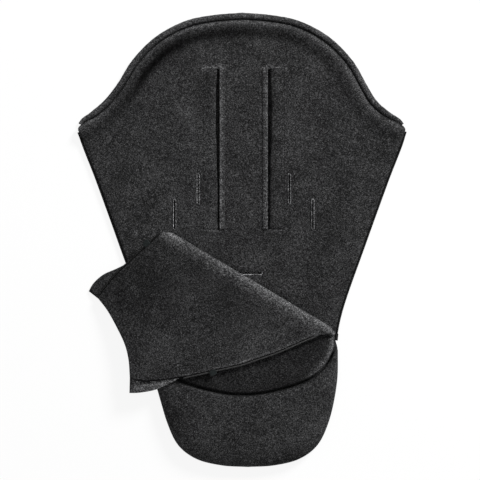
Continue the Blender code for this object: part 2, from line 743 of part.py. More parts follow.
def build_fold(felt_lining):
    """The bend of the cover: the layers turn over along the fold line and meet its two parts."""
    run = np.linalg.norm(fold_end - fold_start)
    corner = (flap_corner - fold_start) @ fold_run
    places = [share * run for share in ROLL_PLACE_SHARES]
    sections = []
    for place in places:
        point = fold_start + fold_run * place
        share = float(smooth(place / corner))
        low, inner_low = float(cover.lower_under(point)[0]), float(cover.upper_over(point)[0])
        inner_high = inner_low + GAP + share * (float(flap.lower_under(point)[0]) - inner_low - GAP)
        high = inner_high + share * float(flap.upper_over(point)[0] - flap.lower_under(point)[0])
        high += (1 - share) * (inner_low - low)
        full = float(smooth(min(place, run - place) / (2 * FOLD_RADIUS)))
        radius = FOLD_RADIUS * (ROLL_TIP_SHARE + (1 - ROLL_TIP_SHARE) * full)
        ring = arc(point, radius, low, high, ROLL_STEPS)
        ring += arc(point, FLAP_CLEARANCE / 2, inner_low, inner_high, ROLL_STEPS // 2)[::-1]
        sections.append(ring)
    loft("cover_fold_roll", sections, felt_lining)


def arc(point, radius, low, high, count):
    """Half an ellipse that bulges out from the fold line between two heights."""
    angles = np.linspace(-pi / 2, pi / 2, count)
    plan = point + fold_out * (GAP + radius * np.cos(angles))[:, None]
    heights = (low + high) / 2 + (high - low) / 2 * np.sin(angles)
    return [(x, y, z) for (x, y), z in zip(plan, heights)]


# Zips

def along_edge(line, height):
    """Heights that depend only on the nearest point of the edge."""
    def level(p):
        p = np.atleast_2d(p)
        start, along = line[:-1], np.diff(line, axis=0)
        share = np.clip(((p[:, None] - start) * along).sum(2) / (along * along).sum(1), 0, 1)
        nearest = start + share[:, :, None] * along
        pick = np.linalg.norm(p[:, None] - nearest, axis=2).argmin(1)
        return height(nearest[np.arange(len(p)), pick])
    return level


def strip(name, line, stretch, sides, below, above, height, material):
    """A bar of rectangular section that follows a stretch of an edge between two offsets from it."""
    run = lengths(line)
    start, end = stretch
    places = [start, *(place for place in run if start + RING_ROOM < place < end - RING_ROOM), end]
    edges = []
    for offset in sides:
        plan = shifted(line, offset)
        solid = np.column_stack((plan, height(plan)))
        edges.append(np.column_stack([np.interp(places, run, solid[:, i]) for i in range(3)]))
    sections = []
    for a, b in zip(*edges):
        sections.append([(a[0], a[1], a[2] - below), (b[0], b[1], b[2] - below),
                         (b[0], b[1], b[2] + above), (a[0], a[1], a[2] + above)])
    loft(name, sections, material)


def teeth(name, line, level, material):
    """A run of zip teeth on their cord, with pointed gaps between the teeth."""
    run = lengths(line)
    count = int(run[-1] / TOOTH_PITCH)
    pitch = run[-1] / count
    root = TEETH_START + TEETH_WIDTH - TOOTH_DEPTH
    tip = TEETH_START + TEETH_WIDTH
    outs = normals(line, False)

    def place(distance, offset):
        point = np.array([np.interp(distance, run, line[:, i]) for i in range(2)])
        out = np.array([np.interp(distance, run, outs[:, i]) for i in range(2)])
        return point + out * offset

    outer = []
    for i in range(count):
        outer.append(place(i * pitch, root))
        outer.append(place((i + 0.5 - TOOTH_TIP_SHARE / 2) * pitch, tip))
        outer.append(place((i + 0.5 + TOOTH_TIP_SHARE / 2) * pitch, tip))
    outer.append(place(run[-1], root))
    outline = np.concatenate((outer, (line + outs * TEETH_START)[::-1]))
    sheet(name, outline, lambda p: level(p) - TEETH_HEIGHT / 2, lambda p: level(p) + TEETH_HEIGHT / 2,
          material)


def build_zip(names, line, height, ends, stop_first, tape_cloth, plastic):
    """A tape in the seam, its teeth, and a stop at the end where a slider could run off."""
    tape_name, teeth_name, stop_name = names
    first, last = ends[0], lengths(line)[-1] - ends[1]
    half = TAPE_THICKNESS / 2
    strip(tape_name, line, (first, last), (-TAPE_INSIDE, TAPE_OUTSIDE), half, half, height, tape_cloth)
    level = along_edge(line, height)
    if stop_name:
        low = first if stop_first else last - STOP_LENGTH
        strip(stop_name, line, (low, low + STOP_LENGTH), (TEETH_START, TEETH_START + TEETH_WIDTH),
              STOP_HEIGHT / 2, STOP_HEIGHT / 2, level, plastic)
        first += (STOP_LENGTH + GAP) if stop_first else 0
        last -= 0 if stop_first else STOP_LENGTH + GAP
    teeth(teeth_name, part_of(line, first, last), level, plastic)


back_right_zip = shifted(side_right, -ZIP_REVEAL)
back_left_zip = shifted(side_left, -ZIP_REVEAL)


def build_zips(tape_cloth, plastic):
    box_room = BOX_END + BOX_LENGTH + GAP
    build_zip(("back_zip_tape_right", "back_zip_teeth_right", "back_zip_stop_right"), back_right_zip,
              back.middle, (2 * ZIP_END, box_room), True, tape_cloth, plastic)
    build_zip(("back_zip_tape_left", "back_zip_teeth_left", "back_zip_stop_left"), back_left_zip,
              back.middle, (box_room, 2 * ZIP_END), False, tape_cloth, plastic)
    build_zip(("cover_zip_tape_base", "cover_zip_teeth_base", None), left_edge,
              cover.middle, (2 * ZIP_END, ZIP_END), True, tape_cloth, plastic)
    build_zip(("cover_zip_tape_right", "cover_zip_teeth_right", "cover_zip_stop_right"), right_zip,
              flap.middle, (ZIP_END / 2, ZIP_END), False, tape_cloth, plastic)
    build_zip(("cover_zip_tape_left", "cover_zip_teeth_left", "cover_zip_stop_left"), left_zip,
              flap.middle, (ZIP_END, ZIP_END / 2), True, tape_cloth, plastic)
    for side, line in (("right", back_right_zip), ("left", back_left_zip)):
        start = lengths(line)[-1] - box_room + GAP if side == "right" else BOX_END
        strip(f"zip_box_{side}", line, (start, start + BOX_LENGTH), (2 * GAP, 2 * GAP + BOX_WIDTH),
              TEETH_HEIGHT / 2, BOX_HEIGHT - TEETH_HEIGHT / 2, along_edge(line, back.middle), plastic)


# Sliders and pull tabs

channel = TEETH_HEIGHT / 2 + SLIDER_CLEARANCE
slider_half = channel + SLIDER_PLATE
flange = TAPE_THICKNESS / 2 + GAP
post_start = TEETH_START + TEETH_WIDTH + SLIDER_CLEARANCE
bridge_y = post_start + POST_WIDTH / 2
pull_top = slider_half + SLIDER_CLEARANCE
bar_top = pull_top + PULL_THICKNESS + SLIDER_CLEARANCE


def slider_profile(outer, half):
    wall = TEETH_START - SLIDER_CLEARANCE - GAP
    near = SLIDER_CLEARANCE
    return [(near, -half), (outer, -half), (outer, -flange), (outer - wall, -flange),
            (outer - wall, -channel), (post_start + POST_WIDTH, -channel),
            (post_start + POST_WIDTH, channel), (outer - wall, channel), (outer - wall, flange),
            (outer, flange), (outer, half), (near, half), (near, flange), (near + wall, flange),
            (near + wall, channel), (post_start, channel), (post_start, -channel),
            (near + wall, -channel), (near + wall, -flange), (near, -flange)]


def slider_frame(start, end, share):
    """Position and axes of a slider on a straight stretch: X along the zip, Y out of it, Z up."""
    point = start + (end - start) * share
    step = (end - start) / np.linalg.norm(end - start) * SLIDER_LENGTH
    behind, here, ahead = (float(flap.middle(place)[0]) for place in (point - step, point, point + step))
    along = Vector((2 * step[0], 2 * step[1], ahead - behind)).normalized()
    out = Vector((-along.y, along.x, 0)).normalized()
    up = along.cross(out)
    frame = Matrix((along, out, up)).transposed().to_4x4()
    frame.translation = (point[0], point[1], here)
    return frame


def build_slider(word, frame, metal):
    half = SLIDER_LENGTH / 2
    nose = SLIDER_PLATE
    stations = ((-half, SLIDER_TAIL - nose, slider_half - nose / 2),
                (nose - half, SLIDER_TAIL, slider_half),
                (half / 4, SLIDER_MOUTH, slider_half),
                (half - nose, SLIDER_MOUTH, slider_half),
                (half, SLIDER_MOUTH - nose, slider_half - nose / 2))
    sections = [[(x, y, z) for y, z in slider_profile(outer, depth)] for x, outer, depth in stations]
    body = loft(f"zip_slider_{word}", sections, metal, frame)
    foot = slider_half - SLIDER_PLATE / 2
    reach = (BRIDGE_SPAN + BRIDGE_BAR) / 2
    leg = (BRIDGE_SPAN - BRIDGE_BAR) / 2
    profile = [(-reach, -foot), (-reach, -bar_top - BRIDGE_TOP), (reach, -bar_top - BRIDGE_TOP),
               (reach, -foot), (leg, -foot), (leg, -bar_top), (-leg, -bar_top), (-leg, -foot)]
    sides = (bridge_y - BRIDGE_BAR / 2, bridge_y + BRIDGE_BAR / 2)
    sections = [[(x, y, z) for x, z in profile] for y in sides]
    bridge = loft(f"bridge_cutter_{word}", sections, metal, frame)
    bridge.hide_render = True
    bridge.display_type = "WIRE"
    union = body.modifiers.new("bridge", "BOOLEAN")
    union.operation = "UNION"
    union.solver = "EXACT"
    union.object = bridge


def build_pull(word, frame, metal):
    """The tab lies under the flap; it hangs on the bridge's leg, so its own origin is on that leg."""
    neck, tab, end, corner = PULL_NECK / 2, PULL_WIDTH / 2, PULL_LENGTH, PULL_CORNER
    opening = asin(neck / PULL_RING)
    angles = np.linspace(opening, 2 * pi - opening, RING_STEPS)
    outer = [(-PULL_RING * sin(angle), -PULL_RING * cos(angle)) for angle in angles]
    outer += [(neck, -PULL_SHOULDER), (tab, -PULL_SHOULDER - corner), (tab, corner - end),
              (tab - corner, -end), (corner - tab, -end), (-tab, corner - end),
              (-tab, -PULL_SHOULDER - corner), (-neck, -PULL_SHOULDER)]
    turns = 2 * pi * np.arange(RING_STEPS) / RING_STEPS
    eye = np.column_stack((PULL_EYE * np.cos(turns), PULL_EYE * np.sin(turns)))
    part = sheet(f"pull_tab_{word}", np.array(outer), lambda p: np.zeros(len(p)),
                 lambda p: np.full(len(p), PULL_THICKNESS), metal, holes=(eye,))
    part.matrix_world = frame @ Matrix.Translation((BRIDGE_SPAN / 2, bridge_y, -pull_top - PULL_THICKNESS))


def main():
    for old in list(bpy.data.objects):
        bpy.data.objects.remove(old)
    felt_shell = material("felt_shell", (0.022, 0.022, 0.023), 0.95)
    felt_lining = material("felt_lining", (0.033, 0.033, 0.034), 0.95)
    wadding = material("wadding", (0.75, 0.75, 0.73), 1.0)
    binding = material("binding", (0.055, 0.055, 0.057), 0.85)
    tape_cloth = material("zip_tape", (0.012, 0.012, 0.013), 0.8)
    plastic = material("zip_teeth", (0.012, 0.012, 0.013), 0.35)
    metal = material("slider_metal", (0.10, 0.10, 0.10), 0.35, 0.9)
    build_back(felt_shell, felt_lining, wadding)
    build_bindings(binding)
    build_doors(felt_shell, felt_lining, wadding)
    build_facings(binding)
    build_casing(felt_shell)
    build_pocket_and_cover(felt_shell, felt_lining, wadding)
    build_flap(felt_shell, felt_lining, wadding)
    build_fold(felt_lining)
    build_zips(tape_cloth, plastic)
    right = slider_frame(right_zip_start[-1], right_zip_end[0], RIGHT_SLIDER_SHARE)
    left = slider_frame(left_zip_start[-1], fold_end, LEFT_SLIDER_SHARE)
    for word, frame in (("right", right), ("left", left)):
        build_slider(word, frame, metal)
        build_pull(word, frame, metal)


main()
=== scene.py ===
import bpy
import numpy as np
from math import cos, pi, sin, sqrt
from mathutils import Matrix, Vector
from mathutils.geometry import delaunay_2d_cdt


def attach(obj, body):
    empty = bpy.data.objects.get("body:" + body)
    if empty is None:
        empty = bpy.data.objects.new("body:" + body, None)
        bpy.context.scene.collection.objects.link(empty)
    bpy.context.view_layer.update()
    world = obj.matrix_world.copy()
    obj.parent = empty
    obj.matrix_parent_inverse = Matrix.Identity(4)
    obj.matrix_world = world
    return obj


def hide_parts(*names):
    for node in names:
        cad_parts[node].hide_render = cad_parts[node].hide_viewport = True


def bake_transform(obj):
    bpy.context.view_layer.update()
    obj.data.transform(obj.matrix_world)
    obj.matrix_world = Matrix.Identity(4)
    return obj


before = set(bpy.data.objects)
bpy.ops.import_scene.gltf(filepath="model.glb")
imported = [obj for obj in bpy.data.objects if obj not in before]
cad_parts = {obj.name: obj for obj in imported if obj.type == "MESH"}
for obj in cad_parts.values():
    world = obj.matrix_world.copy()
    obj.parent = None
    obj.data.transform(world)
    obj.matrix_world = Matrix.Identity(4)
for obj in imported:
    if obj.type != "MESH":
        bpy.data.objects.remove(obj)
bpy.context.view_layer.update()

mm = 0.001
bag = {"length": 998 * mm, "shoulder": 721 * mm, "layerGap": 0.3 * mm, "outlineStep": 4 * mm, "curveSteps": 16,
       "footSway": 12 * mm, "swayFrom": -0.2, "swayTo": -0.38, "zipReveal": 5.8 * mm, "revealRun": 13 * mm,
       "rimInset": 0.6 * mm, "trim": 0.9 * mm, "thinnest": 0.8 * mm, "keep": 0.93, "holeKeep": 0.9}
batch = 3000  # points that are measured at a time


# lines in plan

def place(shares):  # points given as shares of half the shoulder width and of the length
    return np.array(shares, float) * (bag["shoulder"] / 2, bag["length"])


def swayFoot(points):  # the foot end lies a little to the right
    high, low = bag["swayFrom"] * bag["length"], bag["swayTo"] * bag["length"]
    share = np.clip((high - points[:, 1]) / (high - low), 0, 1)
    return points + np.column_stack((bag["footSway"] * share * share * (3 - 2 * share), 0 * share))


def lineLengths(line):
    return np.concatenate(((0,), np.cumsum(np.linalg.norm(np.diff(line, axis=0), axis=1))))


def pointsAt(line, places):
    run = lineLengths(line)
    return np.column_stack([np.interp(places, run, line[:, i]) for i in range(line.shape[1])])


def resample(line, step):
    length = lineLengths(line)[-1]
    return pointsAt(line, np.linspace(0, length, max(2, round(length / step) + 1)))


def smoothLine(points, step=None):
    line = [np.asarray(p, float) for p in points]
    ends = [2 * line[0] - line[1]] + line + [2 * line[-1] - line[-2]]
    dense = [line[0]]
    for a, b, c, d in zip(ends, ends[1:], ends[2:], ends[3:]):
        before, during, after = (sqrt(np.linalg.norm(q - p)) for p, q in ((a, b), (b, c), (c, d)))
        leave = (b - a) / before - (c - a) / (before + during) + (c - b) / during
        arrive = (c - b) / during - (d - b) / (during + after) + (d - c) / after
        for share in np.linspace(0, 1, bag["curveSteps"] + 1)[1:]:
            square, cube = share * share, share ** 3
            dense.append((2 * cube - 3 * square + 1) * b + (3 * square - 2 * cube) * c
                         + during * ((cube - 2 * square + share) * leave + (cube - square) * arrive))
    return resample(np.array(dense), step or bag["outlineStep"])


def lineNormals(line, closed=False):  # to the left of the line
    if closed:
        ahead = np.roll(line, -1, axis=0) - np.roll(line, 1, axis=0)
    else:
        ahead = np.gradient(line, axis=0)
    ahead = ahead / np.linalg.norm(ahead, axis=1)[:, None]
    return np.column_stack((-ahead[:, 1], ahead[:, 0]))


def shiftLine(line, amount):
    return line + lineNormals(line) * np.reshape(amount, (-1, 1))


def cutLine(line, start, end):
    return pointsAt(line, np.arange(start, lineLengths(line)[-1] - end, bag["outlineStep"]))


def distanceTo(points, line, closed=True):
    points = np.atleast_2d(points)
    start = line if closed else line[:-1]
    end = np.roll(line, -1, axis=0) if closed else line[1:]
    along = end - start
    size = np.maximum((along * along).sum(1), 1e-12)
    found = np.empty(len(points))
    for first in range(0, len(points), batch):
        part = points[first:first + batch]
        share = np.clip(((part[:, None] - start) * along).sum(2) / size, 0, 1)
        nearest = start + share[:, :, None] * along
        found[first:first + batch] = np.linalg.norm(part[:, None] - nearest, axis=2).min(1)
    return found


def insideLoop(points, loop):
    points = np.atleast_2d(points)
    start, end = loop, np.roll(loop, -1, axis=0)
    rise = np.where(end[:, 1] == start[:, 1], 1, end[:, 1] - start[:, 1])
    found = np.empty(len(points), bool)
    for first in range(0, len(points), batch):
        part = points[first:first + batch]
        above = (start[:, 1] > part[:, None, 1]) != (end[:, 1] > part[:, None, 1])
        cross = start[:, 0] + (part[:, None, 1] - start[:, 1]) * (end[:, 0] - start[:, 0]) / rise
        found[first:first + batch] = (above & (part[:, None, 0] < cross)).sum(1) % 2
    return found


def turnOf(loop):  # 1 where it runs anticlockwise, else -1
    return np.sign((loop[:, 0] * np.roll(loop[:, 1], -1) - np.roll(loop[:, 0], -1) * loop[:, 1]).sum())


def insetLoop(loop, amount):
    moved = loop + lineNormals(loop, True) * amount * turnOf(loop)
    return moved[(distanceTo(moved, loop) >= amount * bag["keep"]) & insideLoop(moved, loop)]


def joinLines(*lines):
    return np.concatenate([line[:-1] for line in lines])


def mirrorLine(line):
    return np.array(line)[::-1] * (-1, 1)


def bell(distance, at, width):
    return np.exp(-((distance - at) / width) ** 2)


def ease(share):
    share = np.clip(share, 0, 1)
    return share * share * (3 - 2 * share)


def crown(distance, width):  # a rolled edge
    share = 1 - np.clip(distance / width, 0, 1)
    return np.sqrt(1 - share * share)


def turns(count):  # the angles round a ring
    return [2 * pi * i / count for i in range(count)]


laid = {"waves": 9, "lengths": (0.7, 1.5), "level": 4}


def waves(points, length, seed):  # soft unevenness of hand-laid fabric, mostly between -1 and 1
    rng = np.random.default_rng(seed)
    total = np.zeros(len(points))
    for _ in range(laid["waves"]):
        angle, phase, size = rng.uniform(0, 2 * pi), rng.uniform(0, 2 * pi), rng.uniform(*laid["lengths"])
        total += np.sin((points[:, 0] * cos(angle) + points[:, 1] * sin(angle)) * 2 * pi / (length * size) + phase)
    return total / laid["level"]


# outlines of the bag

outline = {
    "hood": ((0.0, 0.5), (0.18, 0.4945), (0.345, 0.482), (0.53, 0.4465), (0.674, 0.394), (0.763, 0.341),
             (0.832, 0.306), (0.915, 0.28), (0.977, 0.264), (0.999, 0.247)),
    "side": ((0.999, 0.247), (0.995, 0.228), (0.893, 0.129), (0.752, -0.012), (0.616, -0.153),
             (0.583, -0.206), (0.579, -0.226)),
    "foot": ((0.579, -0.226), (0.575, -0.255), (0.555, -0.312), (0.494, -0.4), (0.422, -0.453),
             (0.315, -0.482), (0.16, -0.4965), (0.0, -0.5)),
}
hoodRight = smoothLine(place(outline["hood"]))
sideRight = smoothLine(place(outline["side"]))
footRight = smoothLine(swayFoot(place(outline["foot"])))
hoodLeft, sideLeft = mirrorLine(hoodRight), mirrorLine(sideRight)
footLeft = swayFoot(mirrorLine(smoothLine(place(outline["foot"]))))
bagRim = joinLines(hoodRight, sideRight, footRight, footLeft, sideLeft, hoodLeft)

shoulders = {"drift": -5 * mm, "driftAt": 290 * mm, "driftReach": 42 * mm, "tip": 3.6 * mm, "tipAt": 243 * mm,
             "tipReach": 11 * mm}
casing = {"inner": 16.4 * mm, "tip": 0.62, "width": 14.5 * mm, "height": 8.4 * mm, "end": 10 * mm, "taper": 50 * mm,
          "close": 5 * mm, "gather": 0.3 * mm, "ripples": 4, "rippleStep": (0.6 * 17 * mm, 0.3 * 17 * mm),
          "step": 3 * mm, "sides": 20, "flat": 0.9, "seat": 0.95, "lift": 0.6 * mm, "groovePaintedShade": -0.8,
          "grooveTurn": 4, "under": (1.2 * mm, 24 * mm), "underHeight": (0.15 * mm, 0.75 * mm)}


def cornerRoom(line, atEnd):  # how wide the hood's tube is along its line: it narrows towards the shoulders
    run = lineLengths(line)
    left = run[-1] - run if atEnd else run
    room = casing["inner"] * (casing["tip"] + (1 - casing["tip"]) * ease((left - casing["end"]) / casing["taper"]))
    close = ease((left - casing["end"] + casing["close"]) / casing["close"])
    return bag["rimInset"] + (room - bag["rimInset"]) * close


def settle(points):  # the shoulders lie a little to the left, and their tips stand out
    x, y = points[:, 0], points[:, 1]
    drift = shoulders["drift"] * bell(y, shoulders["driftAt"], shoulders["driftReach"])
    tip = shoulders["tip"] * bell(y, shoulders["tipAt"], shoulders["tipReach"])
    return np.column_stack((x + drift + np.sign(x) * tip, y))


def trimmed(line, other):
    return line[distanceTo(line, other, False) >= bag["trim"]]


def softened(loop, corners, reach=5, rounds=6):  # rounds a loop off near some points
    loop = loop.copy()
    near = np.zeros(len(loop), bool)
    for corner in corners:
        at = int(np.linalg.norm(loop - corner, axis=1).argmin())
        near[[(at + i) % len(loop) for i in range(-reach, reach + 1)]] = True
    for _ in range(rounds):
        mean = (np.roll(loop, 1, axis=0) + 2 * loop + np.roll(loop, -1, axis=0)) / 4
        loop[near] = mean[near]
    return loop


def sideRoom(line):  # the padding reaches the rim at the shoulder and clears the zip below it
    return bag["rimInset"] + (bag["zipReveal"] - bag["rimInset"]) * ease(lineLengths(line) / bag["revealRun"])


def padRim():
    hood = trimmed(shiftLine(hoodRight, -cornerRoom(hoodRight, True)), sideRight)
    side = trimmed(shiftLine(sideRight, -sideRoom(sideRight)), hoodRight)
    right = np.concatenate((hood[1:], side))
    soles = [shiftLine(line, -bag["rimInset"]) for line in (footRight, footLeft)]
    loop = np.concatenate((right, soles[0][1:], soles[1][1:-1], mirrorLine(right)))
    return softened(loop, (hood[-1], mirrorLine(hood)[0], side[-1], mirrorLine(side)[0]))


liningRim = settle(padRim())
hoodRight, sideRight, sideLeft, hoodLeft = (settle(line) for line in (hoodRight, sideRight, sideLeft, hoodLeft))

cover = {
    "foldStart": (0.56, -0.2082), "foldEnd": (-0.4827, 0.015),
    "seam": ((0.56, -0.2082), (0.56, -0.224), (0.545, -0.246), (0.505, -0.272), (0.438, -0.296), (0.34, -0.314),
             (0.139, -0.333), (0.007, -0.337), (-0.125, -0.333), (-0.326, -0.314), (-0.424, -0.296),
             (-0.491, -0.272), (-0.54, -0.246), (-0.56, -0.214)),
    "leftEdge": ((-0.56, -0.214), (-0.522, -0.1), (-0.4827, 0.015)),
    "rightZip": ((0.468, -0.203), (0.34, -0.223), (0.206, -0.244), (0.071, -0.2605), (0.004, -0.269),
                 (-0.18, -0.284), (-0.362, -0.2985), (-0.43, -0.303), (-0.53, -0.307), (-0.624, -0.3075),
                 (-0.679, -0.301)),
    "neckline": ((-0.679, -0.301), (-0.688, -0.261), (-0.71, -0.23), (-0.759, -0.193), (-0.822, -0.154),
                 (-0.877, -0.129)),
    "leftZip": ((-0.877, -0.129), (-0.83, -0.106), (-0.755, -0.075), (-0.675, -0.048), (-0.4827, 0.015)),
    "rightEar": ((-0.362, -0.2985), (-0.43, -0.312), (-0.521, -0.327), (-0.637, -0.3345), (-0.682, -0.335)),
    "leftEar": ((-0.936, -0.114), (-0.911, -0.098), (-0.85, -0.078), (-0.759, -0.063), (-0.675, -0.048)),
    "sagStart": 10 * mm, "earClearance": 1.2 * mm, "flapClearance": 5 * mm, "foldRadius": 10.5 * mm,
    "pocketHollow": 9 * mm, "pocketRoll": 45 * mm,
}
foldStart, foldEnd = place(cover["foldStart"]), place(cover["foldEnd"])
foldRun = (foldEnd - foldStart) / np.linalg.norm(foldEnd - foldStart)
foldOut = np.array((foldRun[1], -foldRun[0]))
seamLine = smoothLine(place(cover["seam"]))
leftEdge = smoothLine(place(cover["leftEdge"]))
rightZip = smoothLine(place(cover["rightZip"]))
neckline = smoothLine(place(cover["neckline"]))
leftZipCurve = smoothLine(place(cover["leftZip"][:-1]))
leftZipStraight = resample(np.array((leftZipCurve[-1], foldEnd)), bag["outlineStep"])
leftZip = np.concatenate((leftZipCurve[:-1], leftZipStraight))
rightEar = smoothLine(place(cover["rightEar"]))
leftEar = smoothLine(place(cover["leftEar"]))
flapCorner = foldStart + foldRun * ((rightZip[0] - foldStart) @ foldRun)
flapFold = resample(np.array((foldEnd, flapCorner)), bag["outlineStep"])
baseFold = resample(np.array((foldEnd, foldStart)), bag["outlineStep"])
zipSplit = int(np.linalg.norm(rightZip - rightEar[0], axis=1).argmin())


# layers: heights of the two fabrics of each padded part

layerSizes = ("lower", "upper", "padding", "lowerRoom", "upperRoom", "lowerRoll", "upperRoll", "seamRise")
layers = {"back": (1.2, 1.8, 7, 0.7, 0.7, 14, 30, 5.3), "front": (1.8, 1.2, 7, 0.7, 0.7, 14, 30, 2.5),
          "cover": (1.8, 1.2, 5, 1.4, 0.7, 14, 9, 3.2), "flap": (1.2, 1.8, 5, 2.15, 0.7, 14, 30, 3.5)}
layers = {kind: {word: size * mm for word, size in zip(layerSizes, sizes)} for kind, sizes in layers.items()}


def fullHeight(kind):
    sizes = layers[kind]
    return sizes["lower"] + sizes["padding"] + sizes["upper"] + 2 * bag["layerGap"]


def lowerOver(kind, edge):
    sizes = layers[kind]
    share = crown(edge, sizes["lowerRoll"])
    return (sizes["seamRise"] - sizes["lowerRoom"]) * (1 - share) + sizes["lower"] * share


def upperOver(kind, edge):
    sizes = layers[kind]
    share = crown(edge, sizes["upperRoll"])
    low = sizes["seamRise"] + sizes["upperRoom"]
    return low * (1 - share) + (fullHeight(kind) - sizes["upper"]) * share + sizes["upper"]


backTop = fullHeight("back")
coverTop = backTop + bag["layerGap"] + cover["pocketHollow"] + fullHeight("cover")
flapHeight = coverTop + cover["flapClearance"]
overhangOut = lineNormals(np.array((leftEdge[0], leftEdge[-1])))[0]


def overhang(points):
    return np.maximum((np.atleast_2d(points) - foldEnd) @ overhangOut, 0)


def sagShape(distance):
    start = cover["sagStart"]
    return np.where(distance < start, distance * distance / (2 * start), distance - start / 2)


sagSlope = float((flapHeight - cover["earClearance"]) / sagShape(overhang(leftEar[:1]))[0])


def flapBase(points):
    return flapHeight - sagSlope * sagShape(overhang(points))


def pocketBase(points):
    edge = np.where(insideLoop(points, liningRim), distanceTo(points, liningRim), 0)
    return upperOver("back", edge) + bag["layerGap"] + cover["pocketHollow"] * crown(edge, cover["pocketRoll"])


# meshes

def addObject(name, data):
    made = bpy.data.objects.new(name, data)
    bpy.context.scene.collection.objects.link(made)
    return made


def addMesh(name, vertices, faces, made):
    mesh = bpy.data.meshes.new(name)
    mesh.from_pydata(np.asarray(vertices).tolist(), [], faces)
    mesh.validate()
    mesh.materials.append(made)
    mesh.shade_smooth()
    return addObject(name, mesh)


def belong(piece, body, nodes=()):  # what it rides on and stands for
    if nodes:
        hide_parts(*nodes)
    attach(piece, body)


def planMesh(rim, sizes, holes=(), marks=None):  # triangles that follow a rim, some holes and a line of marks
    rows, holeRows, spacing = sizes["rows"], sizes.get("holeRows"), sizes["spacing"]
    loops = [rim, *holes]
    ids, first = [], 0
    for loop in loops:
        ids.append(list(range(first, first + len(loop))))
        first += len(loop)
    extra = [insetLoop(rim, row) for row in rows]
    low, high = rim.min(0), rim.max(0)
    rowStep = spacing * sqrt(3) / 2
    grid = []
    for j, y in enumerate(np.arange(low[1], high[1], rowStep)):
        xs = np.arange(low[0] + (j % 2) * spacing / 2, high[0], spacing)
        grid.append(np.column_stack((xs, np.full(len(xs), y))))
    grid = np.concatenate(grid)
    grid = grid[insideLoop(grid, rim)]
    grid = grid[distanceTo(grid, rim) > max(rows) + spacing / 2]
    for hole in holes:
        for row in holeRows:
            ring = hole - lineNormals(hole, True) * row * turnOf(hole)
            extra.append(ring[distanceTo(ring, hole) > row * bag["holeKeep"]])
        near = distanceTo(grid, hole) < max(holeRows) + spacing / 2
        grid = grid[~near & ~insideLoop(grid, hole)]
    if marks is not None:
        grid = grid[distanceTo(grid, marks, False) > spacing / 2]
        extra.append(marks)
    points = np.concatenate((*loops, *extra, grid))
    flat, _, tris, _, _, _ = delaunay_2d_cdt([Vector(p) for p in points], [], ids, 1, 1e-7)
    plan = np.array([p[:] for p in flat])
    tris = np.array([t for t in tris if len(t) == 3])
    middles = plan[tris].mean(1)
    kept = np.ones(len(tris), bool)
    for hole in holes:
        kept &= ~insideLoop(middles, hole)
    tris = tris[kept]
    a, b, c = (plan[tris[:, i]] for i in range(3))
    turned = (b[:, 0] - a[:, 0]) * (c[:, 1] - a[:, 1]) < (b[:, 1] - a[:, 1]) * (c[:, 0] - a[:, 0])
    tris[turned] = tris[turned][:, ::-1]
    used = np.unique(tris)
    index = np.full(len(plan), -1)
    index[used] = np.arange(len(used))
    return plan[used], index[tris]


def setPaintedShading(piece, values):  # painted light and shade: the felt's colour is made lighter where it should look lit and darker where it should look shaded
    paintedShading = piece.data.attributes.new("paintedShading", "FLOAT", "POINT")
    paintedShading.data.foreach_set("value", np.asarray(values, np.float32))


paintedRimLight = {"reach": 13 * mm, "lightFrom": (0.67, 0.74)}


def rimLight(plan, distance, amount):  # painted light: the rims that turn from the light are made a little lighter
    ahead = (plan - plan.mean(0)) / np.linalg.norm(plan - plan.mean(0), axis=1)[:, None]
    return amount * bell(distance, 0, paintedRimLight["reach"]) * np.clip(-ahead @ paintedRimLight["lightFrom"], 0, 1)


def padBody(name, plan, tris, under, over, made, paintedShading=None, underPaintedShading=0.0):
    count = len(plan)
    edges = {}
    for tri in tris.tolist():
        for a, b in zip(tri, tri[1:] + tri[:1]):
            edges[(a, b)] = True
    faces = (tris + count).tolist() + tris[:, ::-1].tolist()
    faces += [(a, b, b + count, a + count) for a, b in edges if (b, a) not in edges]
    vertices = np.concatenate((np.column_stack((plan, under)), np.column_stack((plan, over))))
    piece = addMesh(name, vertices, faces, made)
    # the upper face takes the painted light and shade, the lower face one even value
    if paintedShading is not None:
        setPaintedShading(piece, np.concatenate((np.full(count, underPaintedShading), paintedShading)))
    return piece


billow = {"pressure": 4.0, "frames": 20, "quality": 3, "mass": 0.3, "stiffness": 10, "free": 12 * mm, "levels": 10,
          "topShare": 98}


def swell(piece, fromSeams, cap):  # cloth simulation: the wadding pushes the upper fabric up between its seams
    count = len(fromSeams)
    held = np.concatenate((np.ones(count), 1 - ease(fromSeams / billow["free"])))
    group = piece.vertex_groups.new(name="held")
    for level in range(1, billow["levels"] + 1):
        chosen = np.flatnonzero(np.round(held * billow["levels"]) == level)
        group.add(chosen.tolist(), level / billow["levels"], "REPLACE")
    modifier = piece.modifiers.new("billow", "CLOTH")
    modifier.point_cache.frame_start, modifier.point_cache.frame_end = 1, billow["frames"]
    settings = modifier.settings
    settings.quality, settings.mass = billow["quality"], billow["mass"]
    settings.tension_stiffness = settings.compression_stiffness = billow["stiffness"]
    settings.use_pressure, settings.uniform_pressure_force = True, billow["pressure"]
    settings.vertex_group_mass = "held"
    settings.effector_weights.gravity = 0
    for number in range(1, billow["frames"] + 1):
        bpy.context.scene.frame_set(number)
    found = piece.evaluated_get(bpy.context.evaluated_depsgraph_get()).data
    start, moved = np.empty(6 * count), np.empty(6 * count)
    piece.data.vertices.foreach_get("co", start)
    found.vertices.foreach_get("co", moved)
    piece.modifiers.remove(modifier)
    piece.vertex_groups.remove(group)
    bpy.context.scene.frame_set(1)
    rise = np.maximum(moved[2::3] - start[2::3], 0)
    rise[:count] = 0
    top = np.percentile(rise[count:], billow["topShare"])
    start[2::3] += np.minimum(rise / max(top, 1e-6), 1) * cap
    piece.data.vertices.foreach_set("co", start)
    piece.data.update()
    print("swelled", piece.name, count, round(top / mm, 2))


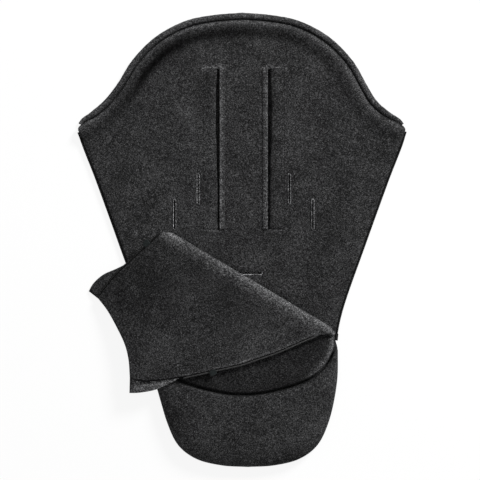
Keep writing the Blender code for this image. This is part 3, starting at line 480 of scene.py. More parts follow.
def loftBody(name, sections, made):
    sections = np.asarray(sections, float)
    rows, size = sections.shape[:2]
    faces = []
    for row in range(rows - 1):
        for i in range(size):
            j = (i + 1) % size
            faces.append((row * size + i, row * size + j, (row + 1) * size + j, (row + 1) * size + i))
    vertices = sections.reshape(-1, 3).tolist()
    for row in (0, rows - 1):  # both ends are capped
        centre = len(vertices)
        vertices.append(sections[row].mean(0).tolist())
        for i in range(size):
            j = (i + 1) % size
            face = (row * size + j, row * size + i, centre)
            faces.append(face if row == 0 else face[::-1])
    points = np.array(vertices)
    total = sum(np.dot(points[f[0]], np.cross(points[f[1]], points[f[2]])) +
                (np.dot(points[f[0]], np.cross(points[f[2]], points[f[3]])) if len(f) == 4 else 0) for f in faces)
    if total < 0:
        faces = [f[::-1] for f in faces]
    return addMesh(name, vertices, faces, made)


# felt and the other finishes

felt = {"dark": (0.0085, 0.0085, 0.0087), "light": (0.186, 0.186, 0.19), "span": (-0.31, 0.97), "lift": 1.8,
        "fibreWidth": 0.03, "fibreWeight": 0.4, "fibreNoise": (1, 0.4), "bump": 0.7 * mm, "bumpStrength": 0.5,
        "roughness": 0.95, "finish": {"Sheen Roughness": 0.5, "Sheen Tint": (0.5, 0.5, 0.52, 1),
                                      "Specular IOR Level": 0.05},
        "fibres": ((85, 4.0, 0.5), (150, 2.8, 0.44)),  # scale, twist, middle
        "noises": {"grain": (390, 1, 0.5, 0.4, 1.6), "fine": (600, 1, 0.5, 0.0, 1.7),
                   "clump": (115, 2, 0.6, 1.5, 1.0), "blotch": (13, 2, 0.5, 0.3, 0.55)}}  # the last is the weight


def newMaterial(name, roughness, metallic=0.0):
    made = bpy.data.materials.new(name)
    made.use_nodes = True
    shader = made.node_tree.nodes["Principled BSDF"]
    shader.inputs["Roughness"].default_value = roughness
    shader.inputs["Metallic"].default_value = metallic
    return made, made.node_tree, shader


def noiseNode(tree, vector, scale, detail, roughness, distortion=0.0):
    node = tree.nodes.new("ShaderNodeTexNoise")
    for word, value in (("Scale", scale), ("Detail", detail), ("Roughness", roughness), ("Distortion", distortion)):
        node.inputs[word].default_value = value
    tree.links.new(vector, node.inputs["Vector"])
    return node.outputs["Fac"]


def mathNode(tree, operation, a, b):
    node = tree.nodes.new("ShaderNodeMath")
    node.operation = operation
    for socket, value in zip(node.inputs, (a, b)):
        if isinstance(value, (int, float)):
            socket.default_value = value
        else:
            tree.links.new(value, socket)
    return node.outputs[0]


def rangeNode(tree, value, low, high, toLow=0.0, toHigh=1.0):
    node = tree.nodes.new("ShaderNodeMapRange")
    tree.links.new(value, node.inputs["Value"])
    for name, number in (("From Min", low), ("From Max", high), ("To Min", toLow), ("To Max", toHigh)):
        node.inputs[name].default_value = number
    return node.outputs["Result"]


def rampNode(tree, share, dark, light, places=(0, 1)):
    ramp = tree.nodes.new("ShaderNodeValToRGB")
    for element, at, colour in zip(ramp.color_ramp.elements, places, (dark, light)):
        element.position, element.color = at, (*colour, 1)
    tree.links.new(share, ramp.inputs["Fac"])
    return ramp.outputs["Color"]


def bumpNode(tree, shader, height, strength, distance):
    bump = tree.nodes.new("ShaderNodeBump")
    bump.inputs["Strength"].default_value = strength
    bump.inputs["Distance"].default_value = distance
    tree.links.new(height, bump.inputs["Height"])
    tree.links.new(bump.outputs["Normal"], shader.inputs["Normal"])


def feltMaterial(name, shade, sheen):
    made, tree, shader = newMaterial(name, felt["roughness"])
    where = tree.nodes.new("ShaderNodeTexCoord").outputs["Object"]
    parts, noises = [], {}
    for scale, twist, middle in felt["fibres"]:
        curl = noiseNode(tree, where, scale, *felt["fibreNoise"], twist)
        away = mathNode(tree, "ABSOLUTE", mathNode(tree, "SUBTRACT", curl, middle), 0.0)
        fibre = rangeNode(tree, away, felt["fibreWidth"], 0.0)
        parts.append(mathNode(tree, "MULTIPLY", fibre, felt["fibreWeight"]))
    for word, (*sizes, weight) in felt["noises"].items():
        noises[word] = noiseNode(tree, where, *sizes)
        parts.append(mathNode(tree, "MULTIPLY", mathNode(tree, "SUBTRACT", noises[word], 0.5), weight))
    mixed = parts[0]
    for part in parts[1:]:
        mixed = mathNode(tree, "ADD", mixed, part)
    share = mathNode(tree, "POWER", rangeNode(tree, mixed, *felt["span"]), felt["lift"])
    colour = rampNode(tree, share, *[[c * shade for c in felt[word]] for word in ("dark", "light")])
    # the ramp's colour is scaled by the painted light and shade of each point
    paintedShadingNode = tree.nodes.new("ShaderNodeAttribute")
    paintedShadingNode.attribute_name = "paintedShading"
    scaled = tree.nodes.new("ShaderNodeVectorMath")
    scaled.operation = "SCALE"
    tree.links.new(colour, scaled.inputs[0])
    tree.links.new(mathNode(tree, "ADD", paintedShadingNode.outputs["Fac"], 1.0), scaled.inputs["Scale"])
    tree.links.new(scaled.outputs["Vector"], shader.inputs["Base Color"])
    for word, value in (("Sheen Weight", sheen), *felt["finish"].items()):
        shader.inputs[word].default_value = value
    height = mathNode(tree, "ADD", noises["grain"], noises["clump"])
    bumpNode(tree, shader, height, felt["bumpStrength"], felt["bump"])
    return made


plain = {"places": (0.35, 0.7), "noise": (3, 0.6), "bump": 0.1 * mm, "bumpStrength": 0.3}


def plainMaterial(name, dark, light, scale, roughness, metallic, gloss):
    made, tree, shader = newMaterial(name, roughness, metallic)
    shader.inputs["Specular IOR Level"].default_value = gloss
    noise = noiseNode(tree, tree.nodes.new("ShaderNodeTexCoord").outputs["Object"], scale, *plain["noise"])
    tree.links.new(rampNode(tree, noise, dark, light, plain["places"]), shader.inputs["Base Color"])
    bumpNode(tree, shader, noise, plain["bumpStrength"], plain["bump"])
    return made


liningFelt = feltMaterial("liningFelt", 1.0, 0.06)
shellFelt = feltMaterial("shellFelt", 0.95, 0.06)
# casingFelt and bindingFelt are brighter copies of the felt: painted highlight on the hood's tube and on the slots'
# lips
casingFelt = feltMaterial("casingFelt", 1.5, 0.08)
bindingFelt = feltMaterial("bindingFelt", 1.3, 0.06)
tapeCloth = plainMaterial("tapeCloth", (0.003, 0.003, 0.003), (0.009, 0.009, 0.009), 900, 0.9, 0.0, 0.05)
toothPlastic = plainMaterial("toothPlastic", (0.004, 0.004, 0.004), (0.01, 0.01, 0.01), 300, 0.4, 0.0, 0.15)
# chainPlastic is a lighter copy of the zip plastic, a painted highlight on the cover's right zip
chainPlastic = plainMaterial("chainPlastic", (0.045, 0.045, 0.045), (0.11, 0.11, 0.11), 300, 0.5, 0.0, 0.15)
sliderMetal = plainMaterial("sliderMetal", (0.01, 0.012, 0.0123), (0.027, 0.032, 0.032), 500, 0.5, 0.15, 0.06)
print("finishes made")


# slots and slits

slots = {"centre": 3 * mm, "slitOffset": 56 * mm, "slitWidth": 6 * mm, "slitTop": 374 * mm, "slitLength": 352 * mm,
         "flapWidth": 30 * mm, "beltLength": 62 * mm, "crotchLength": 75 * mm, "crotch": (3 * mm, -74 * mm),
         "crotchLightTilt": -1.3, "step": 2.5 * mm, "slitStep": 5 * mm,
         "belts": (("inner_left", (-97 * mm, 111 * mm), -0.2), ("inner_right", (103 * mm, 111 * mm), 0.1),
                   ("outer_left", (-148.5 * mm, 55 * mm), -0.5),  # the last tilts the painted highlight towards one lip
                   ("outer_right", (154.5 * mm, 55 * mm), 0.25))}
slitTop, slitBottom = slots["slitTop"], slots["slitTop"] - slots["slitLength"]
sides = ((-1, "left"), (1, "right"))


def slotLoop(centre, length, width, upright, steps=8):
    points = []
    for end in (1, -1):
        for i in range(steps + 1):
            angle = (0 if end > 0 else pi) + pi * i / steps
            x, y = width / 2 * cos(angle), width / 2 * sin(angle) + end * (length - width) / 2
            points.append((x, y) if upright else (-y, x))
    loop = np.array(points) + centre
    return resample(np.concatenate((loop, loop[:1])), slots["step"])[:-1]


def slitInner(side):
    return slots["centre"] + side * (slots["slitOffset"] - slots["slitWidth"] / 2)


def slitHinge(side):
    return slots["centre"] + side * (slots["slitOffset"] + slots["slitWidth"] / 2 + slots["flapWidth"])


def slitLoop(side):
    low, high = sorted((slitInner(side), slitHinge(side)))
    loop = np.array(((low, slitBottom), (high, slitBottom), (high, slitTop), (low, slitTop), (low, slitBottom)))
    return np.concatenate([resample(loop[i:i + 2], slots["slitStep"])[:-1] for i in range(4)])


# painted shade in the slots' mouths and painted highlight on their lips, one value per ring of the profile
binding = {"wall": 1.3 * mm, "lip": 2.4 * mm, "rise": 1.2 * mm, "closed": 0.2 * mm, "stations": 96, "lipPaintedHighlight": 0.4,
           "lipReach": 1.5 * mm, "beltMouth": 3 * mm, "crotchMouth": 4.4 * mm, "foot": 0.3 * mm, "kneeHeight": 5 * mm,
           "mouthRise": 0.2 * mm, "mouthRoll": 0.4 * mm, "under": 1 * mm, "lipShare": 0.7, "wallShare": 0.8,
           "least": -0.95, "paintedShading": (-0.95, -0.95, -0.95, 2.4, 2.1, 0.3, 0, 0)}
slotSizes = [("belt_slot_binding_" + word, "beltBinding_" + word, centre, slots["beltLength"], binding["beltMouth"],
              True, lean) for word, centre, lean in slots["belts"]]
slotSizes.append(("crotch_slot_binding", "crotchBinding", slots["crotch"], slots["crotchLength"],
                  binding["crotchMouth"], False, slots["crotchLightTilt"]))
slotHoles = [slotLoop(centre, length + 2 * binding["wall"], mouth + 2 * binding["wall"], upright)
             for _, _, centre, length, mouth, upright, _ in slotSizes]
slitHoles = [slitLoop(-1), slitLoop(1)]


# back: the padded layer that everything lies on

backPadSizes = {"spacing": 7 * mm, "rows": (0.8 * mm, 2 * mm, 4 * mm, 7 * mm, 11 * mm, 16 * mm, 22 * mm),
                "holeRows": (1 * mm, 2.5 * mm, 5 * mm), "swell": 6.5 * mm, "swellAt": 12 * mm, "swellWidth": 32 * mm,
                "unevenness": 0.9 * mm, "wave": 95 * mm, "rimReach": 30 * mm, "hingeReach": 14 * mm,
                "coveredAt": -160 * mm, "coveredReach": 60 * mm, "holeDrop": 0.8 * mm, "holeReach": 6 * mm,
                "endDrop": 1.6 * mm, "endRoll": 6 * mm, "clothFrom": -140 * mm, "clothRise": 1.6 * mm}
# painted light and shade on the back pad: a dark band inside the hood's groove, a highlight and a dark line at the
# groove, and darker towards the lower right
backPaintedShading = {"band": (-1.1, 27 * mm, 12 * mm), "bandFade": (240 * mm, 400 * mm), "bandLeast": 0.3,
           "rim": (0.9, 4.5 * mm, 3 * mm), "seam": (0.6, 0, 1 * mm), "shade": (0.62, 0.38, 220 * mm),
           "lowTone": -0.17, "lowAt": (175 * mm, -60 * mm), "lowReach": 110 * mm}
facing = {"width": 12 * mm, "thickness": 1.6 * mm, "sections": 90, "sides": 16, "square": (0.45, 0.8),
          "ripple": 0.25 * mm, "rippleStep": 31 * mm, "lean": 0.5 * mm, "paintedAmount": (1.25, 0.25, 0.3), "edge": 0.25,
          "barShare": 0.6, "bars": ((0, 2.4, 2.2 * mm, 2.6 * mm), (slots["slitLength"], 0.6, 2 * mm, 2.2 * mm))}
farIn = 100 * mm  # as good as no rim
hoodWhole = np.concatenate((hoodLeft[:-1], hoodRight))
grooveRoom = np.minimum(cornerRoom(hoodWhole, True), cornerRoom(hoodWhole, False))
hoodGroove = shiftLine(hoodWhole, -grooveRoom)


def bellOf(sizes, distance):
    amount, at, width = sizes
    return amount * bell(distance, at, width)


def backSurface(plan, rimDistance):
    height = upperOver("back", rimDistance)
    sizes = backPadSizes
    fromGroove = distanceTo(plan, hoodGroove, False)
    shape = np.where(fromGroove < sizes["swellAt"], ease(fromGroove / sizes["swellAt"]),
                     1 - ease((fromGroove - sizes["swellAt"]) / sizes["swellWidth"]))
    uneven = waves(plan, sizes["wave"], 3) * sizes["unevenness"] * ease(rimDistance / sizes["rimReach"])
    for side in (-1, 1):  # level where a harness flap folds over
        hinge = np.array(((slitHinge(side), slitTop), (slitHinge(side), slitBottom)))
        uneven = uneven * ease(distanceTo(plan, hinge, False) / sizes["hingeReach"])
    covered = ease((plan[:, 1] - sizes["coveredAt"]) / sizes["coveredReach"])  # nothing rises under the cover
    return height + (sizes["swell"] * shape + uneven) * covered


plan, tris = planMesh(liningRim, backPadSizes, slotHoles + slitHoles)
rimDistance = distanceTo(plan, liningRim)
over = backSurface(plan, rimDistance)
for hole in slotHoles:
    over -= backPadSizes["holeDrop"] * (1 - ease(distanceTo(plan, hole) / backPadSizes["holeReach"]))
for side in (-1, 1):
    for y in (slitTop, slitBottom):
        end = np.array(((slitInner(side) - side * facing["width"], y), (slitHinge(side), y)))
        over -= backPadSizes["endDrop"] * (1 - crown(distanceTo(plan, end, False), backPadSizes["endRoll"]))
under = lowerOver("back", rimDistance) - layers["back"]["lower"]
fromGroove = distanceTo(plan, hoodGroove, False)
middle, turn, reach = backPaintedShading["shade"]  # painted shade: the band shows most on the side that the light reaches least
shaded = middle - turn * np.clip(plan[:, 0] / reach, -1, 1)
fadeFrom, fadeTo = backPaintedShading["bandFade"]
fade = backPaintedShading["bandLeast"] + (1 - backPaintedShading["bandLeast"]) * ease((plan[:, 1] - fadeFrom) / (fadeTo - fadeFrom))
# painted shade in a band inside the groove, painted highlight beside it and a painted dark line in the groove
paintedShading = bellOf(backPaintedShading["band"], fromGroove) * shaded * fade
paintedShading += bellOf(backPaintedShading["rim"], fromGroove) * shaded - bellOf(backPaintedShading["seam"], fromGroove)
# painted highlight: a light bar across the top of each slit and a fainter one at its foot
for side in (-1, 1):
    barStart = slitInner(side) - side * facing["width"] * facing["barShare"]
    bar = np.array(((barStart, slitTop), (slitHinge(side), slitTop)))
    for drop, *sizes in facing["bars"]:
        paintedShading += bellOf(sizes, distanceTo(plan, bar - (0, drop), False))
# darker towards the lower right
fromLow = np.linalg.norm(plan - backPaintedShading["lowAt"], axis=1)
paintedShading += backPaintedShading["lowTone"] * bell(fromLow, 0, backPaintedShading["lowReach"])
# painted highlight round each slot on the back pad
for hole in slotHoles:
    paintedShading += binding["lipPaintedHighlight"] * bell(distanceTo(plan, hole), 0, binding["lipReach"])
backPad = padBody("backPad", plan, tris, under, over, liningFelt, paintedShading)
seams = np.min([rimDistance, *[distanceTo(plan, hole) for hole in slotHoles + slitHoles]], axis=0)
swell(backPad, np.where(plan[:, 1] > backPadSizes["clothFrom"], seams, 0), backPadSizes["clothRise"])
belong(backPad, "back", ("back_lining", "back_padding", "back_shell"))
print("back pad", len(plan))


# the flaps beside the harness slits

harnessFlap = {"spacing": 4 * mm, "rows": (0.7 * mm, 1.8 * mm, 3.5 * mm, 6 * mm), "edgeRoll": 7 * mm,
               "drop": 3.2 * mm, "creaseRoll": 2 * mm, "creaseDrop": 0.3 * mm, "endRoll": 5 * mm, "endDrop": 1.6 * mm,
               "stations": 80, "narrowing": 4.6 * mm, "open": 2.2 * mm, "openAt": 275 * mm, "openReach": 110 * mm,
               "sway": 0.5 * mm, "swayStep": 83 * mm, "hingeStep": 5 * mm, "endStep": 4 * mm, "clothRise": 0.8 * mm}
underlap = {"low": 0.2 * mm, "thickness": 1.1 * mm, "reach": 6 * mm, "clear": 0.1 * mm}

for side, word in sides:
    hinge, free = slitHinge(side), slitHinge(side) - side * slots["flapWidth"]
    ys = np.arange(slitBottom, slitTop + 1e-6, slots["slitLength"] / harnessFlap["stations"])
    narrow = harnessFlap["narrowing"] * (1 - bell(ys, harnessFlap["openAt"], harnessFlap["openReach"]))
    narrow = narrow + harnessFlap["sway"] * np.sin(ys * 2 * pi / harnessFlap["swayStep"] + side)
    freeLine = np.column_stack((free - side * (narrow - harnessFlap["open"]), ys))
    backLine = resample(np.array(((hinge, slitTop), (hinge, slitBottom))), harnessFlap["hingeStep"])
    topLine = resample(np.array((freeLine[-1], (hinge, slitTop))), harnessFlap["endStep"])
    bottomLine = resample(np.array(((hinge, slitBottom), freeLine[0])), harnessFlap["endStep"])
    rim = joinLines(freeLine, topLine, backLine, bottomLine)
    plan, tris = planMesh(rim, harnessFlap)
    over = backSurface(plan, np.full(len(plan), farIn))
    for lines, drop, roll in (((freeLine,), "drop", "edgeRoll"), ((topLine, bottomLine), "endDrop", "endRoll"),
                              ((backLine,), "creaseDrop", "creaseRoll")):
        distance = np.min([distanceTo(plan, line, False) for line in lines], axis=0)
        over = over - harnessFlap[drop] * (1 - crown(distance, harnessFlap[roll]))
    pad = padBody(f"harnessFlap.{word}", plan, tris, np.zeros(len(plan)), over, liningFelt)
    swell(pad, distanceTo(plan, rim), harnessFlap["clothRise"])
    inner = slitInner(side) + side * (underlap["low"] - underlap["clear"])  # a thin lap of the shell closes the slit
    low, high = underlap["low"], underlap["low"] + underlap["thickness"]
    sections = []
    for y, x in zip(ys, freeLine[:, 0] + side * underlap["reach"]):
        sections.append([(x, y, low), (inner, y, low), (inner, y, high), (x, y, high)])
    lap = loftBody(f"slitUnderlap.{word}", sections, shellFelt)
    belong(lap, f"harness_flap_{word}")
    belong(pad, f"harness_flap_{word}",
           [f"harness_flap_{layer}_{word}" for layer in ("lining", "padding", "shell")])
print("harness flaps")


# strips along the slits and bound slot edges

for side, word in sides:
    start = slitInner(side)
    middle = start - side * facing["width"] / 2
    sections = []
    for y in np.linspace(slitTop, slitBottom, facing["sections"]):
        width = facing["width"] + facing["ripple"] * sin(y * 2 * pi / facing["rippleStep"])
        base = float(backSurface(np.array(((middle, y),)), np.array((farIn,)))[0]) + bag["layerGap"]
        ring = []
        for angle in turns(facing["sides"]):
            x, z = [np.sign(share) * abs(share) ** power
                    for share, power in zip((cos(angle), sin(angle)), facing["square"])]
            lean = max(facing["lean"] * x * side, 0)  # the edge beside the slit rolls up a little
            ring.append((middle + x * width / 2, y, base + facing["thickness"] / 2 * (1 + z) + lean))
        sections.append(ring)
    strip = loftBody(f"slitFacing.{word}", sections, liningFelt)
    # painted highlight along each strip, brightest near the slit
    across = np.array([abs(v.co.x - start) / facing["width"] for v in strip.data.vertices])
    setPaintedShading(strip, bellOf(facing["paintedAmount"], across) + facing["edge"])
    belong(strip, "back", (f"harness_slit_facing_{word}",))


def slotBinding(node, name, centre, length, mouth, upright, lean):  # the bound edge of a slot whose lips touch
    top = backTop - backPadSizes["holeDrop"] / 2
    mouth, lip, wall = mouth / 2, binding["lip"], mouth / 2 + binding["wall"] * binding["wallShare"]
    profile = [(binding["closed"] / 2, binding["foot"]), (binding["closed"] / 2, binding["kneeHeight"]),
               (mouth, top + binding["mouthRise"]), (mouth + binding["mouthRoll"], top + binding["rise"]),
               (mouth + lip * binding["lipShare"], top + binding["rise"]), (mouth + lip, top),
               (wall, top - binding["under"]), (wall, binding["foot"])]
    sections, paintedShading = [], []
    for (half, z), paintedAmount in zip(profile, binding["paintedShading"]):
        loop = slotLoop((0, 0), length + 2 * half, 2 * half, True, 10)
        closed = np.concatenate((loop, loop[:1]))
        loop = resample(closed, lineLengths(closed)[-1] / binding["stations"])[:binding["stations"]]
        # painted shade in the mouth and painted highlight on the lips, tilted towards one lip
        paintedShading.append(np.maximum(paintedAmount * (1 + lean * loop[:, 0] / half), binding["least"]))
        if not upright:
            loop = np.column_stack((-loop[:, 1], loop[:, 0]))
        sections.append(np.column_stack((loop + centre, np.full(len(loop), z))))
    rows, size = len(sections), len(sections[0])
    faces = []
    for row in range(rows):
        after = (row + 1) % rows * size
        for i in range(size):
            j = (i + 1) % size
            faces.append((row * size + i, after + i, after + j, row * size + j))
    piece = addMesh(name, np.concatenate(sections), faces, bindingFelt)
    setPaintedShading(piece, np.concatenate(paintedShading))
    belong(piece, "back", (node,))


for sizes in slotSizes:
    slotBinding(*sizes)
print("slots bound")


# the tube along the hood

rim = shiftLine(hoodWhole, -bag["rimInset"])
run = lineLengths(rim)[-1]
path = pointsAt(rim, np.arange(casing["end"], run - casing["end"], casing["step"]))
sections = []
rng = np.random.default_rng(11)
phases = rng.uniform(0, 2 * pi, 6)[:casing["ripples"]]
shortest, longer = casing["rippleStep"]
for i, (point, out) in enumerate(zip(path, lineNormals(path))):
    along = casing["end"] + i * casing["step"]
    full = float(ease(min(along - casing["end"], run - casing["end"] - along) / casing["taper"]))
    share = casing["tip"] + (1 - casing["tip"]) * full
    half, rise = share * casing["width"] / 2, share * casing["height"] / 2
    ring = []
    for angle in turns(casing["sides"]):
        ripple = sum(sin(along * 2 * pi / (shortest + longer * m) + angle * (m % 3) + phase)
                     for m, phase in enumerate(phases)) / casing["ripples"]
        grown = 1 + casing["gather"] * ripple / half
        z = sin(angle) if sin(angle) > 0 else sin(angle) * casing["flat"]
        ring.append((*(point + out * half * (cos(angle) * grown - 1)),
                     casing["lift"] + rise * casing["seat"] + (rise + casing["gather"] * ripple) * z))
    sections.append(ring)
hoodCasing = loftBody("hoodCasing", sections, casingFelt)
# painted shade on the tube's inner side, down in the groove
innerShare = np.array([0.5 - 0.5 * cos(angle) for angle in turns(casing["sides"])])
paintedShading = np.tile(casing["groovePaintedShade"] * innerShare ** casing["grooveTurn"], len(sections))
setPaintedShading(hoodCasing, np.concatenate((paintedShading, (0, 0))))
belong(hoodCasing, "back", ("hood_casing",))
edges = [shiftLine(path, -amount) for amount in casing["under"]]
low, high = casing["underHeight"]
sections = [[(*a, low), (*b, low), (*b, high), (*a, high)] for a, b in zip(*edges)]
hoodShell = loftBody("hoodShell", sections, shellFelt)  # the shell goes on below the tube
belong(hoodShell, "back")
print("hood casing")


# the foot pocket's front

footPad = {"spacing": 6 * mm, "rows": (0.8 * mm, 2 * mm, 4 * mm, 7 * mm, 11 * mm, 16 * mm, 23 * mm, 31 * mm),
           "unevenness": 1.4 * mm, "wave": 70 * mm, "levelFrom": 8 * mm, "levelReach": 40 * mm, "dip": -1 * mm,
           "seamGap": 3.2 * mm, "seamEnd": 31 * mm, "seamDrop": 3.8 * mm, "seamRoll": 5 * mm, "tone": 0.05,
           "seamPaintedShade": (-0.9, 0, 2.6 * mm), "rimPaintedLight": 0.6, "clothRise": 2.2 * mm}

top = shiftLine(seamLine, footPad["seamGap"])
top = top[top[:, 1] < seamLine[0][1] - footPad["seamEnd"]]
rimLow = insetLoop(bagRim, bag["rimInset"])
rimLow = rimLow[rimLow[:, 1] < top[:, 1].max()]
gaps = np.linalg.norm(np.roll(rimLow, -1, axis=0) - rimLow, axis=1)
rimLow = np.roll(rimLow, -int(np.argmax(gaps)) - 1, axis=0)  # starts and ends where the cover's seam does
pocketRim = np.concatenate((rimLow, top[::-1]))
plan, tris = planMesh(pocketRim, footPad)
rimDistance = distanceTo(plan, pocketRim)
base = pocketBase(plan)
uneven = waves(plan, footPad["wave"], 5) * footPad["unevenness"]
uneven = uneven * ease((rimDistance - footPad["levelFrom"]) / footPad["levelReach"])
over = base + upperOver("front", rimDistance) + np.maximum(uneven, footPad["dip"])
under = base + lowerOver("front", rimDistance) - layers["front"]["lower"]
fromSeam = distanceTo(plan, top, False)
over -= footPad["seamDrop"] * (1 - crown(fromSeam, footPad["seamRoll"]))
# a slightly lighter tone overall, painted shade along the seam and painted light on the rims turned from the light
paintedShading = footPad["tone"] + bellOf(footPad["seamPaintedShade"], fromSeam)
paintedShading += rimLight(plan, distanceTo(plan, rimLow, False), footPad["rimPaintedLight"])
footFront = padBody("footFront", plan, tris, under, np.maximum(over, under + bag["thinnest"]), shellFelt, paintedShading)
swell(footFront, rimDistance, footPad["clothRise"])
belong(footFront, "back", ("foot_front_shell", "foot_front_padding", "foot_front_lining"))
print("foot front", len(plan))


# the cover's lower layer

# tone is painted shade where the folded flap shades the cover's lower layer; the lip gets a painted highlight
basePad = {"spacing": 6 * mm, "rows": (0.8 * mm, 2 * mm, 3.5 * mm, 5.5 * mm, 8 * mm, 12 * mm), "tone": -0.42,
           "lipFrom": 120 * mm, "lipTo": 180 * mm, "lipAt": 5.5 * mm, "lipWidth": 5 * mm, "lipRise": 3 * mm,
           "lipPaintedHighlight": 2.2, "seamDrop": 2 * mm, "seamRoll": 3.5 * mm, "seamPaintedShade": (-0.9, 0, 2 * mm),
           "clothRise": 1.2 * mm}

coverRim = joinLines(seamLine, leftEdge, baseFold)
coverSeams = np.concatenate((seamLine, leftEdge[1:]))
plan, tris = planMesh(coverRim, basePad)
edge = distanceTo(plan, coverSeams, False)
base = pocketBase(plan)
fromSeam = distanceTo(plan, seamLine, False)
curled = ease((plan[:, 0] - basePad["lipFrom"]) / (basePad["lipTo"] - basePad["lipFrom"]))
lip = bell(fromSeam, basePad["lipAt"], basePad["lipWidth"]) * curled
over = base + upperOver("cover", edge) + basePad["lipRise"] * lip
over -= basePad["seamDrop"] * (1 - crown(fromSeam, basePad["seamRoll"]))
under = base + lowerOver("cover", edge) - layers["cover"]["lower"]
# painted shade over the layer and along the seam, painted highlight on the lip
paintedShading = basePad["tone"] + basePad["lipPaintedHighlight"] * lip + bellOf(basePad["seamPaintedShade"], fromSeam)
coverBase = padBody("coverBase", plan, tris, under, np.maximum(over, under + bag["thinnest"]), shellFelt, paintedShading)
swell(coverBase, np.minimum(edge, distanceTo(plan, baseFold, False)), basePad["clothRise"])
belong(coverBase, "back", ("cover_base_shell", "cover_base_padding", "cover_base_lining"))
print("cover base", len(plan))


# the cover folded over: its lining on top, its shell and ears below

flapPad = {"spacing": 6 * mm, "rows": (0.8 * mm, 2 * mm, 4 * mm, 7 * mm, 11 * mm, 16 * mm, 22 * mm),
           "unevenness": 1.3 * mm, "wave": 85 * mm, "levelFrom": 6 * mm, "levelReach": 30 * mm, "foldReach": 25 * mm,
           "tone": 0.08, "farTone": -0.26, "toneFrom": -60 * mm, "toneTo": -260 * mm,
           "edgePaintedHighlight": (0.9, 3 * mm, 2.6 * mm), "earEdgePaintedShade": (1.2, 0, 2.2 * mm), "rimPaintedLight": 0.5,
           "foldPaintedHighlight": (1.35, 0, 11 * mm), "clothRise": 2.2 * mm}
flapShell = {"spacing": 7 * mm, "rows": (0.8 * mm, 2.4 * mm, 5 * mm, 9 * mm), "thin": 0.45, "thinReach": 3 * mm,
             "earPaintedLight": 1.9, "earStart": 1.2 * mm, "earTop": -240 * mm, "earReach": 30 * mm, "shadowPaintedLight": 4.5,
             "shadowAt": 3 * mm, "shadowReach": 8 * mm, "markStep": 3 * mm, "markAt": (0.3 * mm, 2.2 * mm),
             "markRoom": 2.6 * mm}

flapRim = joinLines(rightZip, neckline, leftZip, flapFold)
flapRim = np.concatenate((flapRim, flapFold[-1:]))
flapSeams = np.concatenate((rightZip, neckline[1:], leftZip[1:]))
shellSeams = np.concatenate((rightZip[:zipSplit], rightEar, neckline[1:-1], leftEar, leftZipStraight[1:]))
shellRimFlap = np.concatenate((shellSeams, flapFold[1:]))
plan, tris = planMesh(flapRim, flapPad)
edge = distanceTo(plan, flapSeams, False)
shellEdge = distanceTo(plan, shellSeams, False)
base = flapBase(plan)
foldDistance = distanceTo(plan, flapFold, False)
uneven = waves(plan, flapPad["wave"], 8) * flapPad["unevenness"]
uneven = uneven * ease((edge - flapPad["levelFrom"]) / flapPad["levelReach"])
under = base + lowerOver("flap", shellEdge) + bag["layerGap"]
over = base + upperOver("flap", edge) + uneven * ease(foldDistance / flapPad["foldReach"])
# painted shade darker towards the flap's upper end, painted highlight along the zip edge and the fold, painted shade
# along the ear's edge, painted light on the rims
toward = ease((plan[:, 1] - flapPad["toneFrom"]) / (flapPad["toneTo"] - flapPad["toneFrom"]))
paintedShading = flapPad["farTone"] + (flapPad["tone"] - flapPad["farTone"]) * toward
paintedShading += bellOf(flapPad["edgePaintedHighlight"], distanceTo(plan, rightZip[:zipSplit], False))
paintedShading -= bellOf(flapPad["earEdgePaintedShade"], distanceTo(plan, rightZip[zipSplit:], False))
paintedShading += bellOf(flapPad["foldPaintedHighlight"], foldDistance)
paintedShading += rimLight(plan, distanceTo(plan, neckline, False), flapPad["rimPaintedLight"])
coverFlap = padBody("coverFlap", plan, tris, under, np.maximum(over, under + bag["thinnest"]), liningFelt, paintedShading)
swell(coverFlap, np.minimum(edge, foldDistance), flapPad["clothRise"])
belong(coverFlap, "cover_flap", ("cover_flap_lining", "cover_flap_padding"))
print("cover flap", len(plan))

earEdge = resample(rightZip[zipSplit:], flapShell["markStep"])
nearMark, farMark = [shiftLine(earEdge, -amount) for amount in flapShell["markAt"]]
earMarks = np.concatenate((nearMark, farMark[::-1]))  # the ear's painted light begins here
inside = insideLoop(earMarks, shellRimFlap) & (distanceTo(earMarks, shellRimFlap) > flapShell["markRoom"])
plan, tris = planMesh(shellRimFlap, flapShell, (), earMarks[inside])
edge = distanceTo(plan, shellSeams, False)
over = flapBase(plan) + lowerOver("flap", edge)
thin = flapShell["thin"] + (1 - flapShell["thin"]) * ease(edge / flapShell["thinReach"])
under = over - layers["flap"]["lower"] * thin
outside = np.where(insideLoop(plan, flapRim), 0, distanceTo(plan, flapRim))
shadow = 1 - ease((outside - flapShell["shadowAt"]) / flapShell["shadowReach"])
paintedShading = flapShell["earPaintedLight"] + flapShell["shadowPaintedLight"] * shadow  # painted light lifts the ear, most where the flap's edge shades it
paintedShading = paintedShading * ease(outside / flapShell["earStart"])
paintedShading = paintedShading * ease((flapShell["earTop"] - plan[:, 1]) / flapShell["earReach"])
# the shell's underside takes the lower layer's painted shade
coverShell = padBody("coverShell", plan, tris, under, over, shellFelt, paintedShading, basePad["tone"])
belong(coverShell, "cover_flap", ("cover_flap_shell",))
print("cover shell", len(plan))


# the bend of the cover along the fold

